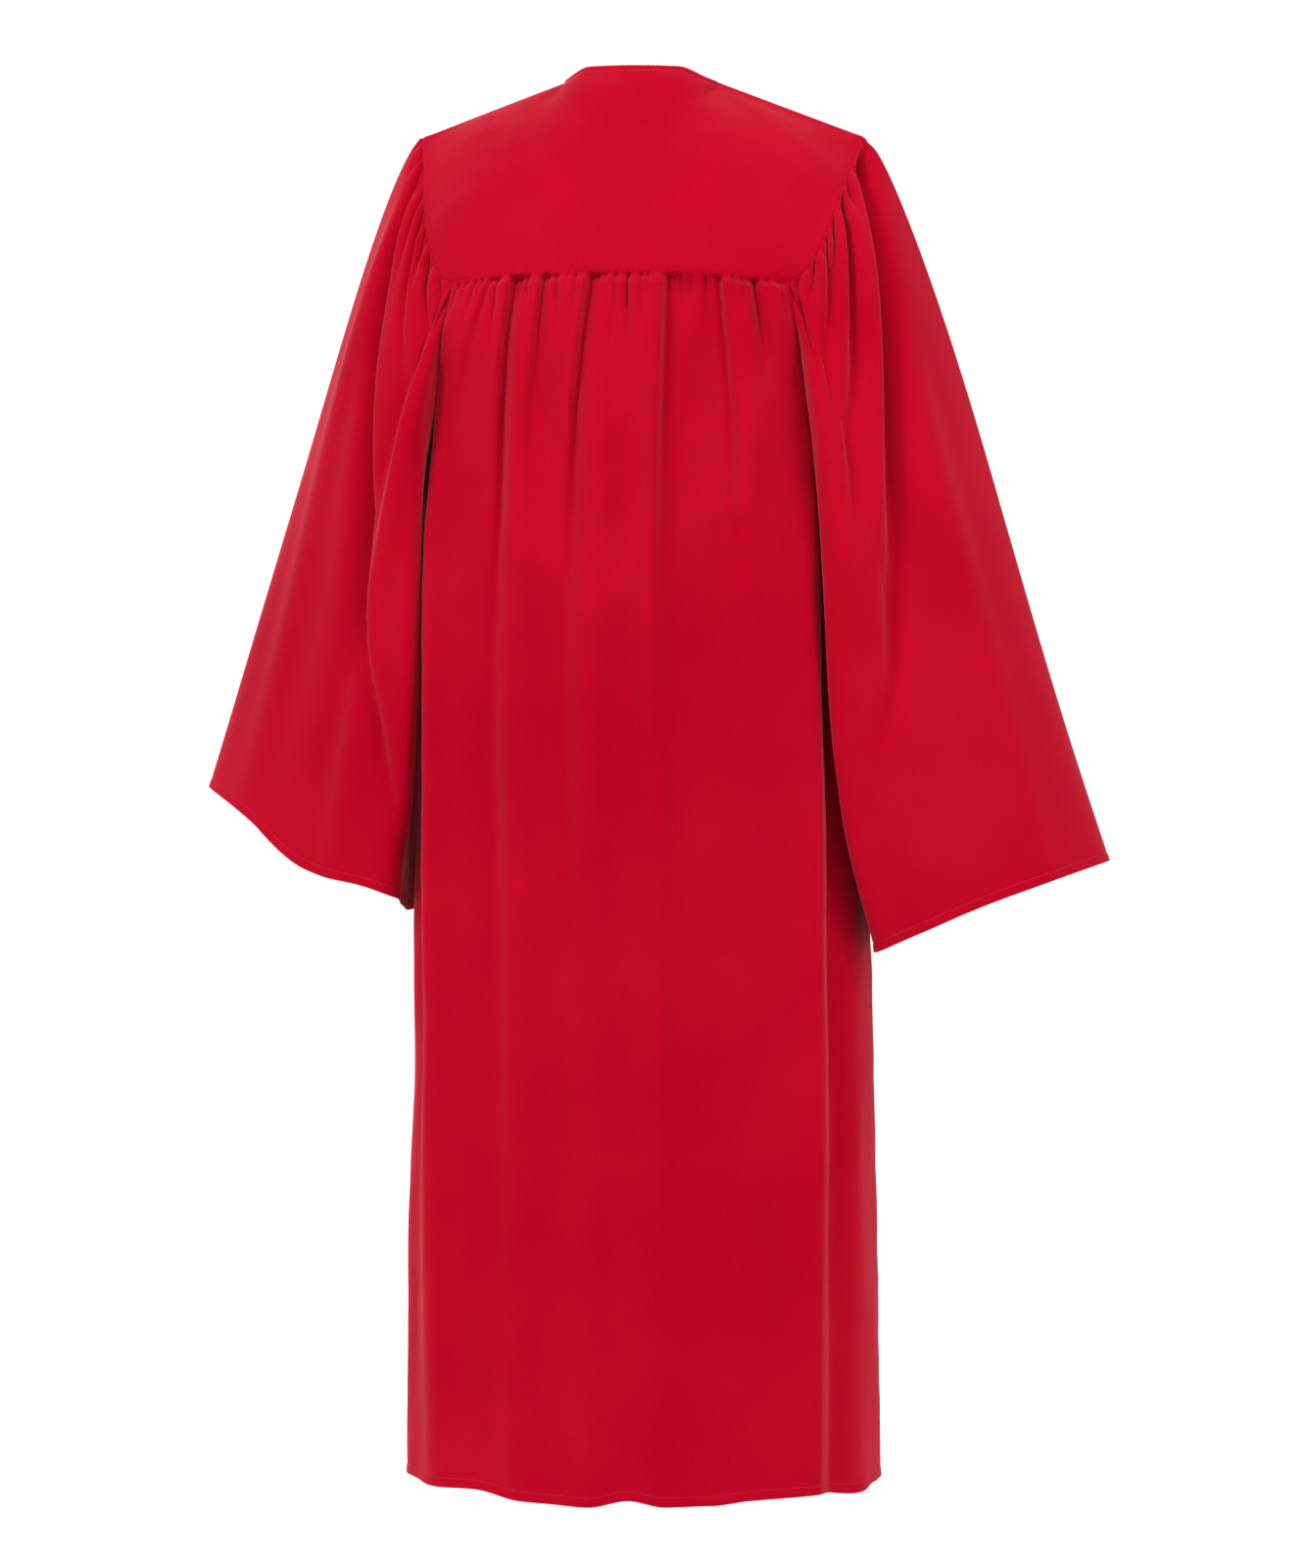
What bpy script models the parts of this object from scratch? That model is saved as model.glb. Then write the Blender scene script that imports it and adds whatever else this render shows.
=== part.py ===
"""Graduation gown as worn, hanging hollow with nobody in it.

Metres, +Z up. The front of the gown looks along -Y and its back along +Y, so
the gown's own left is +X. The origin lies between the two neck ends of the
shoulder seams, where the wearer's shoulders hold the gown.
"""
import bpy
import numpy as np

# Sizes of the cut.
WALL = 0.0016             # thickness of the cloth
SHIFT = 0.0002            # each piece stands back this far from a seam line
NECK_HALF = 0.075         # neck end of a shoulder seam, from the middle
SHOULDER_HALF = 0.2175    # sleeve end of a shoulder seam, from the middle
SHOULDER_FALL = 0.055     # how far a shoulder seam falls on its way out
NAPE_BACK = 0.045         # nape of the neck behind the shoulder line
NAPE_RISE = 0.0095        # nape of the neck above the shoulder line
V_DROP = 0.115            # point of the front neck below the shoulder line
UNDERARM = 0.366          # foot of the armhole below the shoulder line
HEM = 1.357               # hem below the shoulder line
YOKE_CORNER_BACK = 0.164  # half width of the back yoke's seam
YOKE_DROP_BACK = 0.2077   # ends of the back yoke's seam
YOKE_LIFT_BACK = 0.0084   # the middle of that seam stands higher
YOKE_CORNER_FRONT = 0.170
YOKE_DROP_FRONT = 0.152
YOKE_LIFT_FRONT = -0.013  # the middle of the front seam lies lower
OPENING_HALF = 0.0065     # each front edge from the middle, along the zip
LEAN = 0.0275             # the left shoulder stands a little higher than the right
LEAN_LEFT = 0.0125        # and the left side takes more of that lean
SWAY = 0.003              # the lower gown hangs a little to the gown's right

# Sections of the body, one row for each height.
RING = (
    # drop, half width, back depth, front depth, squareness
    (0.1000, 0.2000, 0.118, 0.118, 3.2),
    (0.2077, 0.2024, 0.135, 0.127, 3.2),
    (0.2500, 0.2080, 0.142, 0.131, 3.2),
    (0.3100, 0.1950, 0.147, 0.135, 3.2),
    (0.3660, 0.1960, 0.150, 0.138, 3.2),
    (0.4500, 0.2030, 0.152, 0.140, 3.2),
    (0.6000, 0.2110, 0.154, 0.143, 3.1),
    (0.8400, 0.2205, 0.158, 0.148, 2.9),
    (1.1000, 0.2260, 0.166, 0.156, 2.7),
    (1.3800, 0.2300, 0.176, 0.166, 2.5),
)

# How far the middle of each yoke's lengthwise curve stands out from a straight line.
BULGE_BACK = (
    # place across, backward, upward
    (0.00, 0.042, 0.017),
    (0.20, 0.043, 0.022),
    (0.42, 0.040, 0.042),
    (0.60, 0.034, 0.054),
    (0.75, 0.028, 0.052),
    (0.90, 0.018, 0.032),
    (1.00, 0.010, 0.013),
)
BULGE_FRONT = (
    # place across, backward, upward
    (0.00, 0.000, 0.000),
    (0.20, -0.012, 0.015),
    (0.434, -0.031, 0.046),
    (0.70, -0.026, 0.050),
    (0.90, -0.014, 0.030),
    (1.00, -0.009, 0.0185),
)
# Side edge of the back yoke: how far it has drawn in on its way down.
DRAW_IN = (
    # place down, share of the draw
    (0.00, 0.00),
    (0.28, 0.15),
    (0.52, 0.288),
    (0.72, 0.434),
    (0.88, 0.62),
    (0.96, 0.80),
    (1.00, 1.00),
)

# Folds of the back, from the gathers under the yoke. Minus depths are ridges.
BACK_FOLDS = (
    # place, lean, half width at top, half width below, depth, start, reach
    (0.150, 0.00, 0.0045, 0.008, 0.0034, 0.010, 0.050),
    (0.138, 0.04, 0.0045, 0.008, 0.0030, 0.010, 0.060),
    (0.121, 0.08, 0.0050, 0.012, 0.0045, 0.012, 0.110),
    (0.108, 0.06, 0.0040, 0.007, 0.0028, 0.010, 0.045),
    (0.094, 0.10, 0.0060, 0.022, 0.0085, 0.014, 0.420),
    (0.081, 0.05, 0.0040, 0.008, 0.0028, 0.010, 0.050),
    (0.069, 0.04, 0.0050, 0.014, 0.0050, 0.012, 0.200),
    (0.055, 0.05, 0.0040, 0.007, 0.0026, 0.010, 0.040),
    (0.039, 0.05, 0.0050, 0.012, 0.0046, 0.012, 0.120),
    (0.022, 0.10, 0.0060, 0.020, 0.0070, 0.014, 0.360),
    (0.006, 0.02, 0.0040, 0.008, 0.0026, 0.010, 0.045),
    (-0.008, 0.00, 0.0045, 0.010, 0.0034, 0.010, 0.080),
    (-0.026, 0.00, 0.0045, 0.010, 0.0036, 0.010, 0.090),
    (-0.047, -0.01, 0.0060, 0.022, 0.0082, 0.012, 0.400),
    (-0.065, 0.00, 0.0045, 0.009, 0.0034, 0.010, 0.070),
    (-0.078, -0.02, 0.0042, 0.008, 0.0030, 0.010, 0.060),
    (-0.094, -0.07, 0.0060, 0.018, 0.0095, 0.014, 0.300),
    (-0.112, -0.06, 0.0042, 0.009, 0.0036, 0.010, 0.070),
    (-0.124, -0.06, 0.0042, 0.008, 0.0030, 0.010, 0.060),
    (-0.137, -0.08, 0.0055, 0.012, 0.0062, 0.012, 0.100),
    (-0.153, -0.14, 0.0045, 0.010, 0.0045, 0.010, 0.060),
    (-0.165, 0.02, 0.0045, 0.008, 0.0028, 0.010, 0.040),
    # soft folds farther down
    (0.130, -0.010, 0.030, 0.040, 0.0055, 0.35, 1.60),
    (0.058, -0.010, 0.030, 0.036, 0.0060, 0.30, 1.80),
    (-0.030, 0.010, 0.026, 0.034, 0.0060, 0.30, 1.90),
    (-0.105, 0.000, 0.030, 0.034, 0.0070, 0.25, 1.90),
    (0.100, -0.012, 0.026, 0.030, -0.0045, 0.30, 1.90),
    (0.012, 0.000, 0.030, 0.034, -0.0060, 0.35, 1.90),
    (-0.068, 0.005, 0.024, 0.030, -0.0050, 0.30, 1.90),
    # long ridges at the ends of the gathers, and the hollow beside each
    (0.188, 0.004, 0.013, 0.022, -0.0100, 0.30, 1.10),
    (-0.188, -0.004, 0.013, 0.022, -0.0105, 0.32, 1.10),
    (0.234, 0.000, 0.018, 0.026, 0.0150, 0.16, 1.10),
    (-0.234, 0.000, 0.018, 0.026, 0.0165, 0.16, 1.20),
)
# Folds of the two fronts, plain gathers under the front yokes.
FRONT_FOLDS = (
    # place, lean, half width at top, half width below, depth, start, reach
    (0.156, 0.03, 0.0045, 0.009, 0.0034, 0.010, 0.060),
    (0.142, 0.06, 0.0055, 0.016, 0.0062, 0.012, 0.220),
    (0.127, 0.05, 0.0045, 0.009, 0.0036, 0.010, 0.080),
    (0.112, 0.05, 0.0055, 0.020, 0.0074, 0.012, 0.420),
    (0.096, 0.03, 0.0045, 0.009, 0.0034, 0.010, 0.070),
    (0.080, 0.03, 0.0055, 0.018, 0.0066, 0.012, 0.300),
    (0.064, 0.02, 0.0045, 0.009, 0.0036, 0.010, 0.080),
    (0.050, 0.02, 0.0050, 0.015, 0.0050, 0.012, 0.240),
    # soft folds farther down
    (0.140, 0.000, 0.030, 0.036, 0.0065, 0.30, 1.90),
    (0.074, 0.000, 0.024, 0.030, 0.0060, 0.30, 1.90),
    (0.107, 0.000, 0.022, 0.028, -0.0050, 0.30, 1.90),
    (0.186, 0.004, 0.016, 0.026, -0.0060, 0.30, 1.20),
    (0.232, 0.000, 0.018, 0.026, 0.0110, 0.18, 1.20),
)
HEM_WAVE = (
    # place along the hem, rise of the hem
    (-0.310, 0.0030),
    (-0.262, 0.0000),
    (-0.205, 0.0060),
    (-0.165, 0.0050),
    (-0.130, 0.0040),
    (-0.095, -0.0010),
    (-0.055, -0.0020),
    (-0.020, 0.0030),
    (0.020, -0.0040),
    (0.085, -0.0010),
    (0.140, 0.0060),
    (0.190, 0.0040),
    (0.250, 0.0060),
    (0.310, 0.0020),
)

# Each sleeve as a tube: what leaves the armhole and where it arrives at the cuff.
SLEEVE_RIGHT = (
    # around, leave out, back, up, cuff out, back, up, arrive out, back, up
    (0.000, 0.142, 0.000, -0.128, 0.447, -0.035, -0.759, 0.225, -0.030, -0.720),
    (0.125, 0.165, 0.075, -0.130, 0.400, 0.045, -0.777, 0.190, -0.010, -0.650),
    (0.250, 0.120, 0.100, -0.160, 0.325, 0.082, -0.806, 0.140, -0.040, -0.600),
    (0.375, 0.090, 0.150, -0.330, 0.252, 0.080, -0.838, 0.220, -0.100, -0.480),
    (0.440, 0.150, 0.090, -0.300, 0.237, 0.052, -0.844, 0.050, -0.050, -0.480),
    (0.500, 0.190, 0.000, -0.280, 0.237, 0.000, -0.843, 0.010, 0.000, -0.470),
    (0.580, 0.180, -0.060, -0.280, 0.242, -0.055, -0.835, 0.040, 0.000, -0.470),
    (0.660, 0.110, -0.080, -0.300, 0.276, -0.102, -0.815, 0.100, 0.000, -0.520),
    (0.750, 0.120, -0.060, -0.200, 0.337, -0.126, -0.790, 0.150, -0.030, -0.620),
    (0.870, 0.165, -0.060, -0.135, 0.412, -0.102, -0.768, 0.190, -0.030, -0.690),
)
SLEEVE_LEFT = (
    # around, leave out, back, up, cuff out, back, up, arrive out, back, up
    (0.000, 0.134, 0.000, -0.128, 0.446, -0.035, -0.687, 0.233, -0.030, -0.650),
    (0.125, 0.155, 0.070, -0.130, 0.389, 0.030, -0.716, 0.190, -0.010, -0.580),
    (0.250, 0.120, 0.090, -0.160, 0.327, 0.066, -0.764, 0.140, -0.040, -0.560),
    (0.375, 0.110, 0.130, -0.320, 0.240, 0.083, -0.787, 0.140, -0.080, -0.460),
    (0.440, 0.150, 0.090, -0.290, 0.231, 0.056, -0.801, 0.050, -0.050, -0.440),
    (0.500, 0.190, 0.000, -0.280, 0.237, 0.000, -0.808, 0.010, 0.000, -0.440),
    (0.580, 0.180, -0.060, -0.280, 0.242, -0.055, -0.800, 0.040, 0.000, -0.440),
    (0.660, 0.110, -0.080, -0.300, 0.276, -0.102, -0.775, 0.100, 0.000, -0.480),
    (0.750, 0.120, -0.060, -0.200, 0.337, -0.126, -0.740, 0.150, -0.030, -0.570),
    (0.870, 0.165, -0.060, -0.135, 0.412, -0.102, -0.702, 0.190, -0.030, -0.630),
)
# Folds of the sleeves. Places run around the tube from the shoulder over the back.
SLEEVE_FOLDS_RIGHT = (
    # place at armhole, place at cuff, half width top, half width below, depth, start, reach
    (0.012, 0.06, 0.0055, 0.012, 0.0040, 0.02, 0.16),
    (0.030, 0.32, 0.0060, 0.020, 0.0110, 0.03, 0.75),
    (0.052, 0.30, 0.0055, 0.012, 0.0040, 0.02, 0.16),
    (0.074, 0.34, 0.0055, 0.014, 0.0048, 0.02, 0.22),
    (0.096, 0.36, 0.0055, 0.012, 0.0044, 0.02, 0.16),
    (0.120, 0.44, 0.0060, 0.016, 0.0070, 0.02, 0.40),
    (0.146, 0.40, 0.0055, 0.012, 0.0044, 0.02, 0.14),
    (0.172, 0.42, 0.0060, 0.014, 0.0060, 0.02, 0.30),
    (0.198, 0.38, 0.0055, 0.012, 0.0044, 0.02, 0.14),
    (0.226, 0.38, 0.0060, 0.014, 0.0052, 0.02, 0.20),
    (0.262, 0.34, 0.0060, 0.012, 0.0036, 0.03, 0.14),
    (0.770, 0.70, 0.0060, 0.014, 0.0044, 0.02, 0.20),
    (0.806, 0.74, 0.0060, 0.012, 0.0040, 0.02, 0.16),
    (0.842, 0.68, 0.0065, 0.020, 0.0070, 0.02, 0.55),
    (0.878, 0.84, 0.0060, 0.014, 0.0044, 0.02, 0.18),
    (0.912, 0.72, 0.0060, 0.018, 0.0060, 0.02, 0.45),
    (0.945, 0.90, 0.0060, 0.014, 0.0042, 0.02, 0.16),
    (0.975, 0.94, 0.0055, 0.012, 0.0036, 0.02, 0.14),
    # soft folds toward the cuff
    (0.200, 0.200, 0.030, 0.036, 0.0060, 0.55, 1.90),
    (0.120, 0.130, 0.028, 0.034, -0.0050, 0.55, 1.90),
    (0.300, 0.290, 0.026, 0.030, -0.0050, 0.50, 1.90),
    (0.720, 0.720, 0.034, 0.040, 0.0070, 0.50, 1.90),
    (0.850, 0.850, 0.030, 0.036, -0.0050, 0.50, 1.90),
)
SLEEVE_FOLDS_LEFT = (
    # place at armhole, place at cuff, half width top, half width below, depth, start, reach
    (0.014, 0.02, 0.0055, 0.012, 0.0038, 0.02, 0.14),
    (0.036, 0.20, 0.0055, 0.012, 0.0040, 0.02, 0.16),
    (0.058, 0.36, 0.0060, 0.018, 0.0090, 0.03, 0.70),
    (0.080, 0.36, 0.0055, 0.012, 0.0044, 0.02, 0.18),
    (0.102, 0.40, 0.0055, 0.012, 0.0048, 0.02, 0.20),
    (0.124, 0.44, 0.0060, 0.014, 0.0060, 0.02, 0.36),
    (0.148, 0.40, 0.0055, 0.012, 0.0044, 0.02, 0.16),
    (0.174, 0.42, 0.0060, 0.014, 0.0056, 0.02, 0.28),
    (0.202, 0.38, 0.0055, 0.012, 0.0044, 0.02, 0.16),
    (0.230, 0.36, 0.0060, 0.014, 0.0050, 0.02, 0.20),
    (0.264, 0.34, 0.0060, 0.012, 0.0036, 0.03, 0.14),
    (0.766, 0.72, 0.0060, 0.014, 0.0044, 0.02, 0.18),
    (0.800, 0.70, 0.0065, 0.020, 0.0066, 0.02, 0.50),
    (0.838, 0.78, 0.0060, 0.014, 0.0042, 0.02, 0.18),
    (0.872, 0.74, 0.0065, 0.018, 0.0062, 0.02, 0.45),
    (0.908, 0.86, 0.0060, 0.014, 0.0044, 0.02, 0.18),
    (0.942, 0.90, 0.0060, 0.014, 0.0042, 0.02, 0.16),
    (0.974, 0.94, 0.0055, 0.012, 0.0036, 0.02, 0.14),
    # soft folds toward the cuff
    (0.215, 0.215, 0.026, 0.032, 0.0100, 0.30, 1.90),
    (0.140, 0.150, 0.028, 0.034, -0.0070, 0.45, 1.90),
    (0.300, 0.300, 0.022, 0.026, -0.0100, 0.30, 1.90),
    (0.060, 0.060, 0.026, 0.030, 0.0050, 0.60, 1.90),
    (0.720, 0.720, 0.034, 0.040, 0.0070, 0.50, 1.90),
    (0.850, 0.850, 0.030, 0.036, -0.0050, 0.50, 1.90),
)

# How closely each piece is divided.
BODY_ROWS_BACK = (0.007, 0.018, 0.034, 0.055, 0.080, 0.105, 0.128, 0.147, 0.1583)
BODY_ROWS_FRONT = (0.008, 0.022, 0.042, 0.070, 0.105, 0.140, 0.170, 0.195, 0.214)
BODY_ROWS_LOW = (0.40, 0.45, 0.51, 0.58, 0.66, 0.75, 0.85, 0.96, 1.08, 1.19, 1.28, 1.357)
YOKE_ROWS = (0.0, 0.10, 0.24, 0.40, 0.57, 0.73, 0.86, 0.94, 1.0)
SLEEVE_ROWS = (0.0, 0.014, 0.034, 0.060, 0.095, 0.14, 0.20, 0.28, 0.38, 0.50, 0.63, 0.77, 0.90, 1.0)

# Zip of the centre front.
TAPE_INNER = 0.0017
TAPE_OUTER = 0.0135
TAPE_BEND = 0.0050        # beyond this the tape's edge follows the cloth in front of it
TAPE_WALL = 0.0010
TAPE_GAP = 0.0005
ZIP_TOP = 0.1175
ZIP_FOOT = 1.325
CHAIN_HALF = 0.0028
CHAIN_WALL = 0.0015
SLIDER_TOP = 0.1185
SLIDER_HEIGHT = 0.0095
TAB_LENGTH = 0.026
TAB_TILT = 7.0            # degrees the tab leans out to rest on the chain
AXIS_OFF_PLATE = 0.0014   # hinge axis of the pull tab in front of the slider's plate

CLOTH_RED = (0.60, 0.010, 0.035, 1.0)
TAPE_RED = (0.50, 0.012, 0.030, 1.0)
COIL_RED = (0.42, 0.015, 0.030, 1.0)
PAINTED_RED = (0.46, 0.012, 0.025, 1.0)


def column(table, k):
    return np.array([row[k] for row in table], float)


def curve(xs, ys, x):
    """Smooth curve through a table's points that never overshoots them."""
    xs = np.asarray(xs, float)
    ys = np.asarray(ys, float)
    h = np.diff(xs)
    slope = np.diff(ys) / h
    m = np.zeros(len(xs))
    m[0] = slope[0]
    m[-1] = slope[-1]
    for i in range(1, len(xs) - 1):
        if slope[i - 1] * slope[i] > 0:
            w1 = 2 * h[i] + h[i - 1]
            w2 = h[i] + 2 * h[i - 1]
            m[i] = (w1 + w2) / (w1 / slope[i - 1] + w2 / slope[i])
    x = np.clip(np.asarray(x, float), xs[0], xs[-1])
    i = np.clip(np.searchsorted(xs, x, side="right") - 1, 0, len(xs) - 2)
    t = (x - xs[i]) / h[i]
    return ((1 + 2 * t) * (1 - t) ** 2 * ys[i] + t * (1 - t) ** 2 * h[i] * m[i]
            + t * t * (3 - 2 * t) * ys[i + 1] + t * t * (t - 1) * h[i] * m[i + 1])


def loop_curve(xs, ys, x):
    """Smooth closed curve through a table's points; places run from 0 to 1 and round again."""
    n = len(xs)
    xe = np.concatenate([[xs[-1] - 1.0], xs, [xs[0] + 1.0, xs[1] + 1.0]])
    ye = np.concatenate([ys[-1:], ys, ys[:2]])
    m = (ye[2:] - ye[:-2]) / (xe[2:] - xe[:-2])
    x = np.mod(np.asarray(x, float), 1.0)
    i = np.clip(np.searchsorted(xs, x, side="right") - 1, 0, n - 1)
    h = xe[i + 2] - xe[i + 1]
    t = (x - xe[i + 1]) / h
    return ((1 + 2 * t) * (1 - t) ** 2 * ye[i + 1] + t * (1 - t) ** 2 * h * m[i]
            + t * t * (3 - 2 * t) * ye[i + 2] + t * t * (t - 1) * h * m[i + 1])


def smooth(t):
    t = np.clip(t, 0.0, 1.0)
    return t * t * (3 - 2 * t)


def unit(v):
    return v / np.maximum(np.linalg.norm(v, axis=-1, keepdims=True), 1e-12)


def stack(x, y, z):
    x, y, z = np.broadcast_arrays(np.asarray(x, float), y, z)
    return np.stack([x, y, z], axis=-1)


# The body: rings that hang from the yokes. side is +1 for the back and -1 for the front.

def ring(side, drop, phi):
    """Point of the body at a height; the angle runs from the +X side over the middle."""
    key = column(RING, 0)
    a = curve(key, column(RING, 1), drop)
    b = curve(key, column(RING, 2 if side > 0 else 3), drop)
    n = curve(key, column(RING, 4), drop)
    c = np.cos(phi)
    s = np.sin(phi)
    r = ((np.abs(c) / a) ** n + (np.abs(s) / b) ** n) ** (-1.0 / n)
    return stack(r * c, side * r * s, -np.asarray(drop, float))


def corner(side):
    """Drop and angle at which the armhole meets the yoke's seam."""
    drop = YOKE_DROP_BACK if side > 0 else YOKE_DROP_FRONT
    half = YOKE_CORNER_BACK if side > 0 else YOKE_CORNER_FRONT
    phis = np.linspace(0.2, 1.2, 2001)
    xs = ring(side, drop, phis)[:, 0]
    return drop, float(np.interp(-half, -xs, phis))


CORNERS = {1: corner(1), -1: corner(-1)}


def edge_phi(side, drop):
    """Angle at which the armhole, and below it the side seam, ends a ring."""
    top, phi = CORNERS[side]
    t = np.clip((drop - top) / (UNDERARM - top), 0.0, 1.0)
    return phi * np.sqrt(np.maximum(1 - t ** 2.2, 0.0))


ARCS = {}


def arc(side, drop):
    """Angles and lengths along a ring from the middle out to its end."""
    key = (side, round(float(drop), 6))
    if key not in ARCS:
        phis = np.linspace(np.pi / 2, float(edge_phi(side, drop)), 400)
        p = ring(side, drop, phis)
        steps = np.linalg.norm(np.diff(p, axis=0), axis=1)
        ARCS[key] = (phis, np.concatenate([[0.0], np.cumsum(steps)]))
    return ARCS[key]


def half_length(side, drop):
    return float(arc(side, drop)[1][-1])


def seam_fall(side, drop, share):
    """Rise of a row over its level, because it follows the yoke's seam above it."""
    top = CORNERS[side][0]
    lift = YOKE_LIFT_BACK if side > 0 else YOKE_LIFT_FRONT
    return lift * (1 - np.abs(share) ** 2.5) * (1 - smooth((drop - top) / 0.16))


def hem_rise(side, drop, s):
    wave = curve(column(HEM_WAVE, 0), column(HEM_WAVE, 1), s * side)
    return wave * smooth((drop - (HEM - 0.16)) / 0.16)


def body_base(side, drop, s):
    """Unfolded body: points, outward normals and the two directions of the cloth."""
    phis, lengths = arc(side, drop)
    s = np.asarray(s, float)
    phi = np.interp(np.abs(s), lengths, phis)
    sign = np.where(s < 0, -1.0, 1.0)
    rise = seam_fall(side, drop, s / lengths[-1]) + hem_rise(side, drop, s)
    level = np.maximum(drop - rise, 0.101)
    p = ring(side, level, phi)
    e = 1e-4
    along = ring(side, level, phi - e) - ring(side, level, phi + e)
    down = ring(side, level + e, phi) - ring(side, level - e, phi)
    normal = unit(np.cross(along, down) * side)
    for v in (p, normal):
        v[..., 0] *= sign
    down = unit(np.array([0.0, 0.0, -1.0]) + normal * normal[..., 2:3])
    across = unit(np.cross(normal, down)) * -side
    return p, normal, across, down


def fold_sum(table, s, t, mirror=1.0):
    """Depth of all folds at place s, a distance t from where they start."""
    d = np.zeros(np.broadcast(s, t).shape)
    for place, lean, half_top, half_low, depth, start, reach in table:
        middle = place + lean * t
        half = half_top + (half_low - half_top) * smooth(t / reach)
        share = smooth(t / start) * (1 - smooth((t - 0.3 * reach) / (0.7 * reach)))
        d = d - depth * share * np.exp(-((s * mirror - middle) / half) ** 2)
    return d


def body_depth(side, drop, s, end=None):
    """Outward distance of the folded body from its ring."""
    top = CORNERS[side][0]
    t = np.asarray(drop - top, float)
    s = np.asarray(s, float)
    if side > 0:
        d = fold_sum(BACK_FOLDS, s, t)
    else:
        d = fold_sum(FRONT_FOLDS, np.abs(s), t) * smooth((np.abs(s) - 0.016) / 0.022)
    d = d + 0.0035 * smooth(t / 0.014) * (1 - smooth((t - 0.03) / 0.09))
    if side < 0:
        d = d * smooth((np.abs(s) - 0.012) / 0.02)
    if end is None:
        end = half_length(side, drop)
    return d * smooth(t / 0.010) * smooth((end - np.abs(s)) / 0.016)


def body_row(side, drop, s):
    """Folded row of the body: points and normals."""
    p, normal, across, down = body_base(side, drop, s)
    end = half_length(side, drop)
    d = body_depth(side, drop, s, end)
    e = 4e-4
    ds = (body_depth(side, drop, s + e, end) - body_depth(side, drop, s - e, end)) / (2 * e)
    dt = (body_depth(side, drop + e, s, end) - body_depth(side, drop - e, s, end)) / (2 * e)
    n = np.cross(across + ds[:, None] * normal, down + dt[:, None] * normal) * side
    return p + d[:, None] * normal, unit(n)


# The yokes: u runs across and v down from the shoulder or neck to the seam.

def yoke_seam(side, u):
    """Point of a yoke's lower seam; u is the share of the way out from the middle."""
    u = np.asarray(u, float)
    half = YOKE_CORNER_BACK if side > 0 else YOKE_CORNER_FRONT
    if side > 0:
        x = half * u
        share = u
    else:
        x = OPENING_HALF + (half - OPENING_HALF) * u
        share = x / half
    top = CORNERS[side][0]
    lift = YOKE_LIFT_BACK if side > 0 else YOKE_LIFT_FRONT
    drop = top - lift * (1 - np.abs(share) ** 2.5)
    key = column(RING, 0)
    a = curve(key, column(RING, 1), drop)
    b = curve(key, column(RING, 2 if side > 0 else 3), drop)
    n = curve(key, column(RING, 4), drop)
    y = b * (1 - np.minimum(np.abs(x) / a, 1.0) ** n) ** (1 / n)
    return stack(x, side * y, -drop)


NECK_SHARE_BACK = 0.42
NECK_SHARE_FRONT = 0.434


def yoke_top(side, u):
    """Point of a yoke's upper edge: the neck first, then the shoulder seam."""
    u = np.asarray(u, float)
    w = np.abs(u)
    if side > 0:
        share = NECK_SHARE_BACK
        turn = np.clip(w / share, 0, 1) * np.pi / 2
        neck = stack(NECK_HALF * np.sin(turn), NAPE_BACK * np.cos(turn),
                     NAPE_RISE * (1 - smooth((NECK_HALF * np.sin(turn) - 0.044) / 0.031)))
    else:
        share = NECK_SHARE_FRONT
        t = np.clip(w / share, 0, 1)
        front = curve(column(RING, 0), column(RING, 3), V_DROP)
        neck = stack(OPENING_HALF + (NECK_HALF - OPENING_HALF) * t,
                     -front * (1 - t) ** 0.6, -V_DROP * (1 - t))
    k = np.maximum((w - share) / (1 - share), 0)
    shoulder = stack(NECK_HALF + (SHOULDER_HALF - NECK_HALF) * k, 0.0 * k, -SHOULDER_FALL * k)
    p = np.where((w < share)[..., None], neck, shoulder)
    p[..., 0] *= np.where(u < 0, -1.0, 1.0)
    return p


TOP_PLACES = np.linspace(-1.5, 1.5, 6001)
TOP_SUMS = {}


def soft_top(side, u, v):
    """Upper edge averaged over more and more cloth on the way down, so its neck corner fades."""
    if side not in TOP_SUMS:
        p = yoke_top(side, TOP_PLACES)
        step = TOP_PLACES[1] - TOP_PLACES[0]
        TOP_SUMS[side] = np.concatenate([np.zeros((1, 3)), np.cumsum((p[1:] + p[:-1]) / 2 * step, axis=0)])
    u, v = np.broadcast_arrays(u, v)
    reach = 0.36 * smooth(v / 0.42)
    if side < 0:
        reach = np.minimum(reach, u)
    wide = np.maximum(reach, 1e-3)
    ends = [np.stack([np.interp(u + k * wide, TOP_PLACES, TOP_SUMS[side][:, j]) for j in range(3)], axis=-1)
            for k in (1, -1)]
    mean = (ends[0] - ends[1]) / (2 * wide)[..., None]
    return np.where((reach > 1e-3)[..., None], mean, yoke_top(side, u))


def yoke(side, u, v):
    u = np.asarray(u, float)
    v = np.asarray(v, float)
    top = soft_top(side, u, v)
    foot = yoke_seam(side, u)
    table = BULGE_BACK if side > 0 else BULGE_FRONT
    w = np.abs(u)
    key = column(table, 0)
    middle = (top + foot) / 2
    middle = middle + stack(0.0 * w, curve(key, column(table, 1), w), curve(key, column(table, 2), w))
    p = ((1 - v) ** 2)[..., None] * top + (2 * v * (1 - v))[..., None] * middle + (v ** 2)[..., None] * foot
    if side > 0:
        k = curve(column(DRAW_IN, 0), column(DRAW_IN, 1), v)
    else:
        k = v ** 0.9
    p[..., 0] = top[..., 0] + (foot[..., 0] - top[..., 0]) * k
    return p


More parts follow.
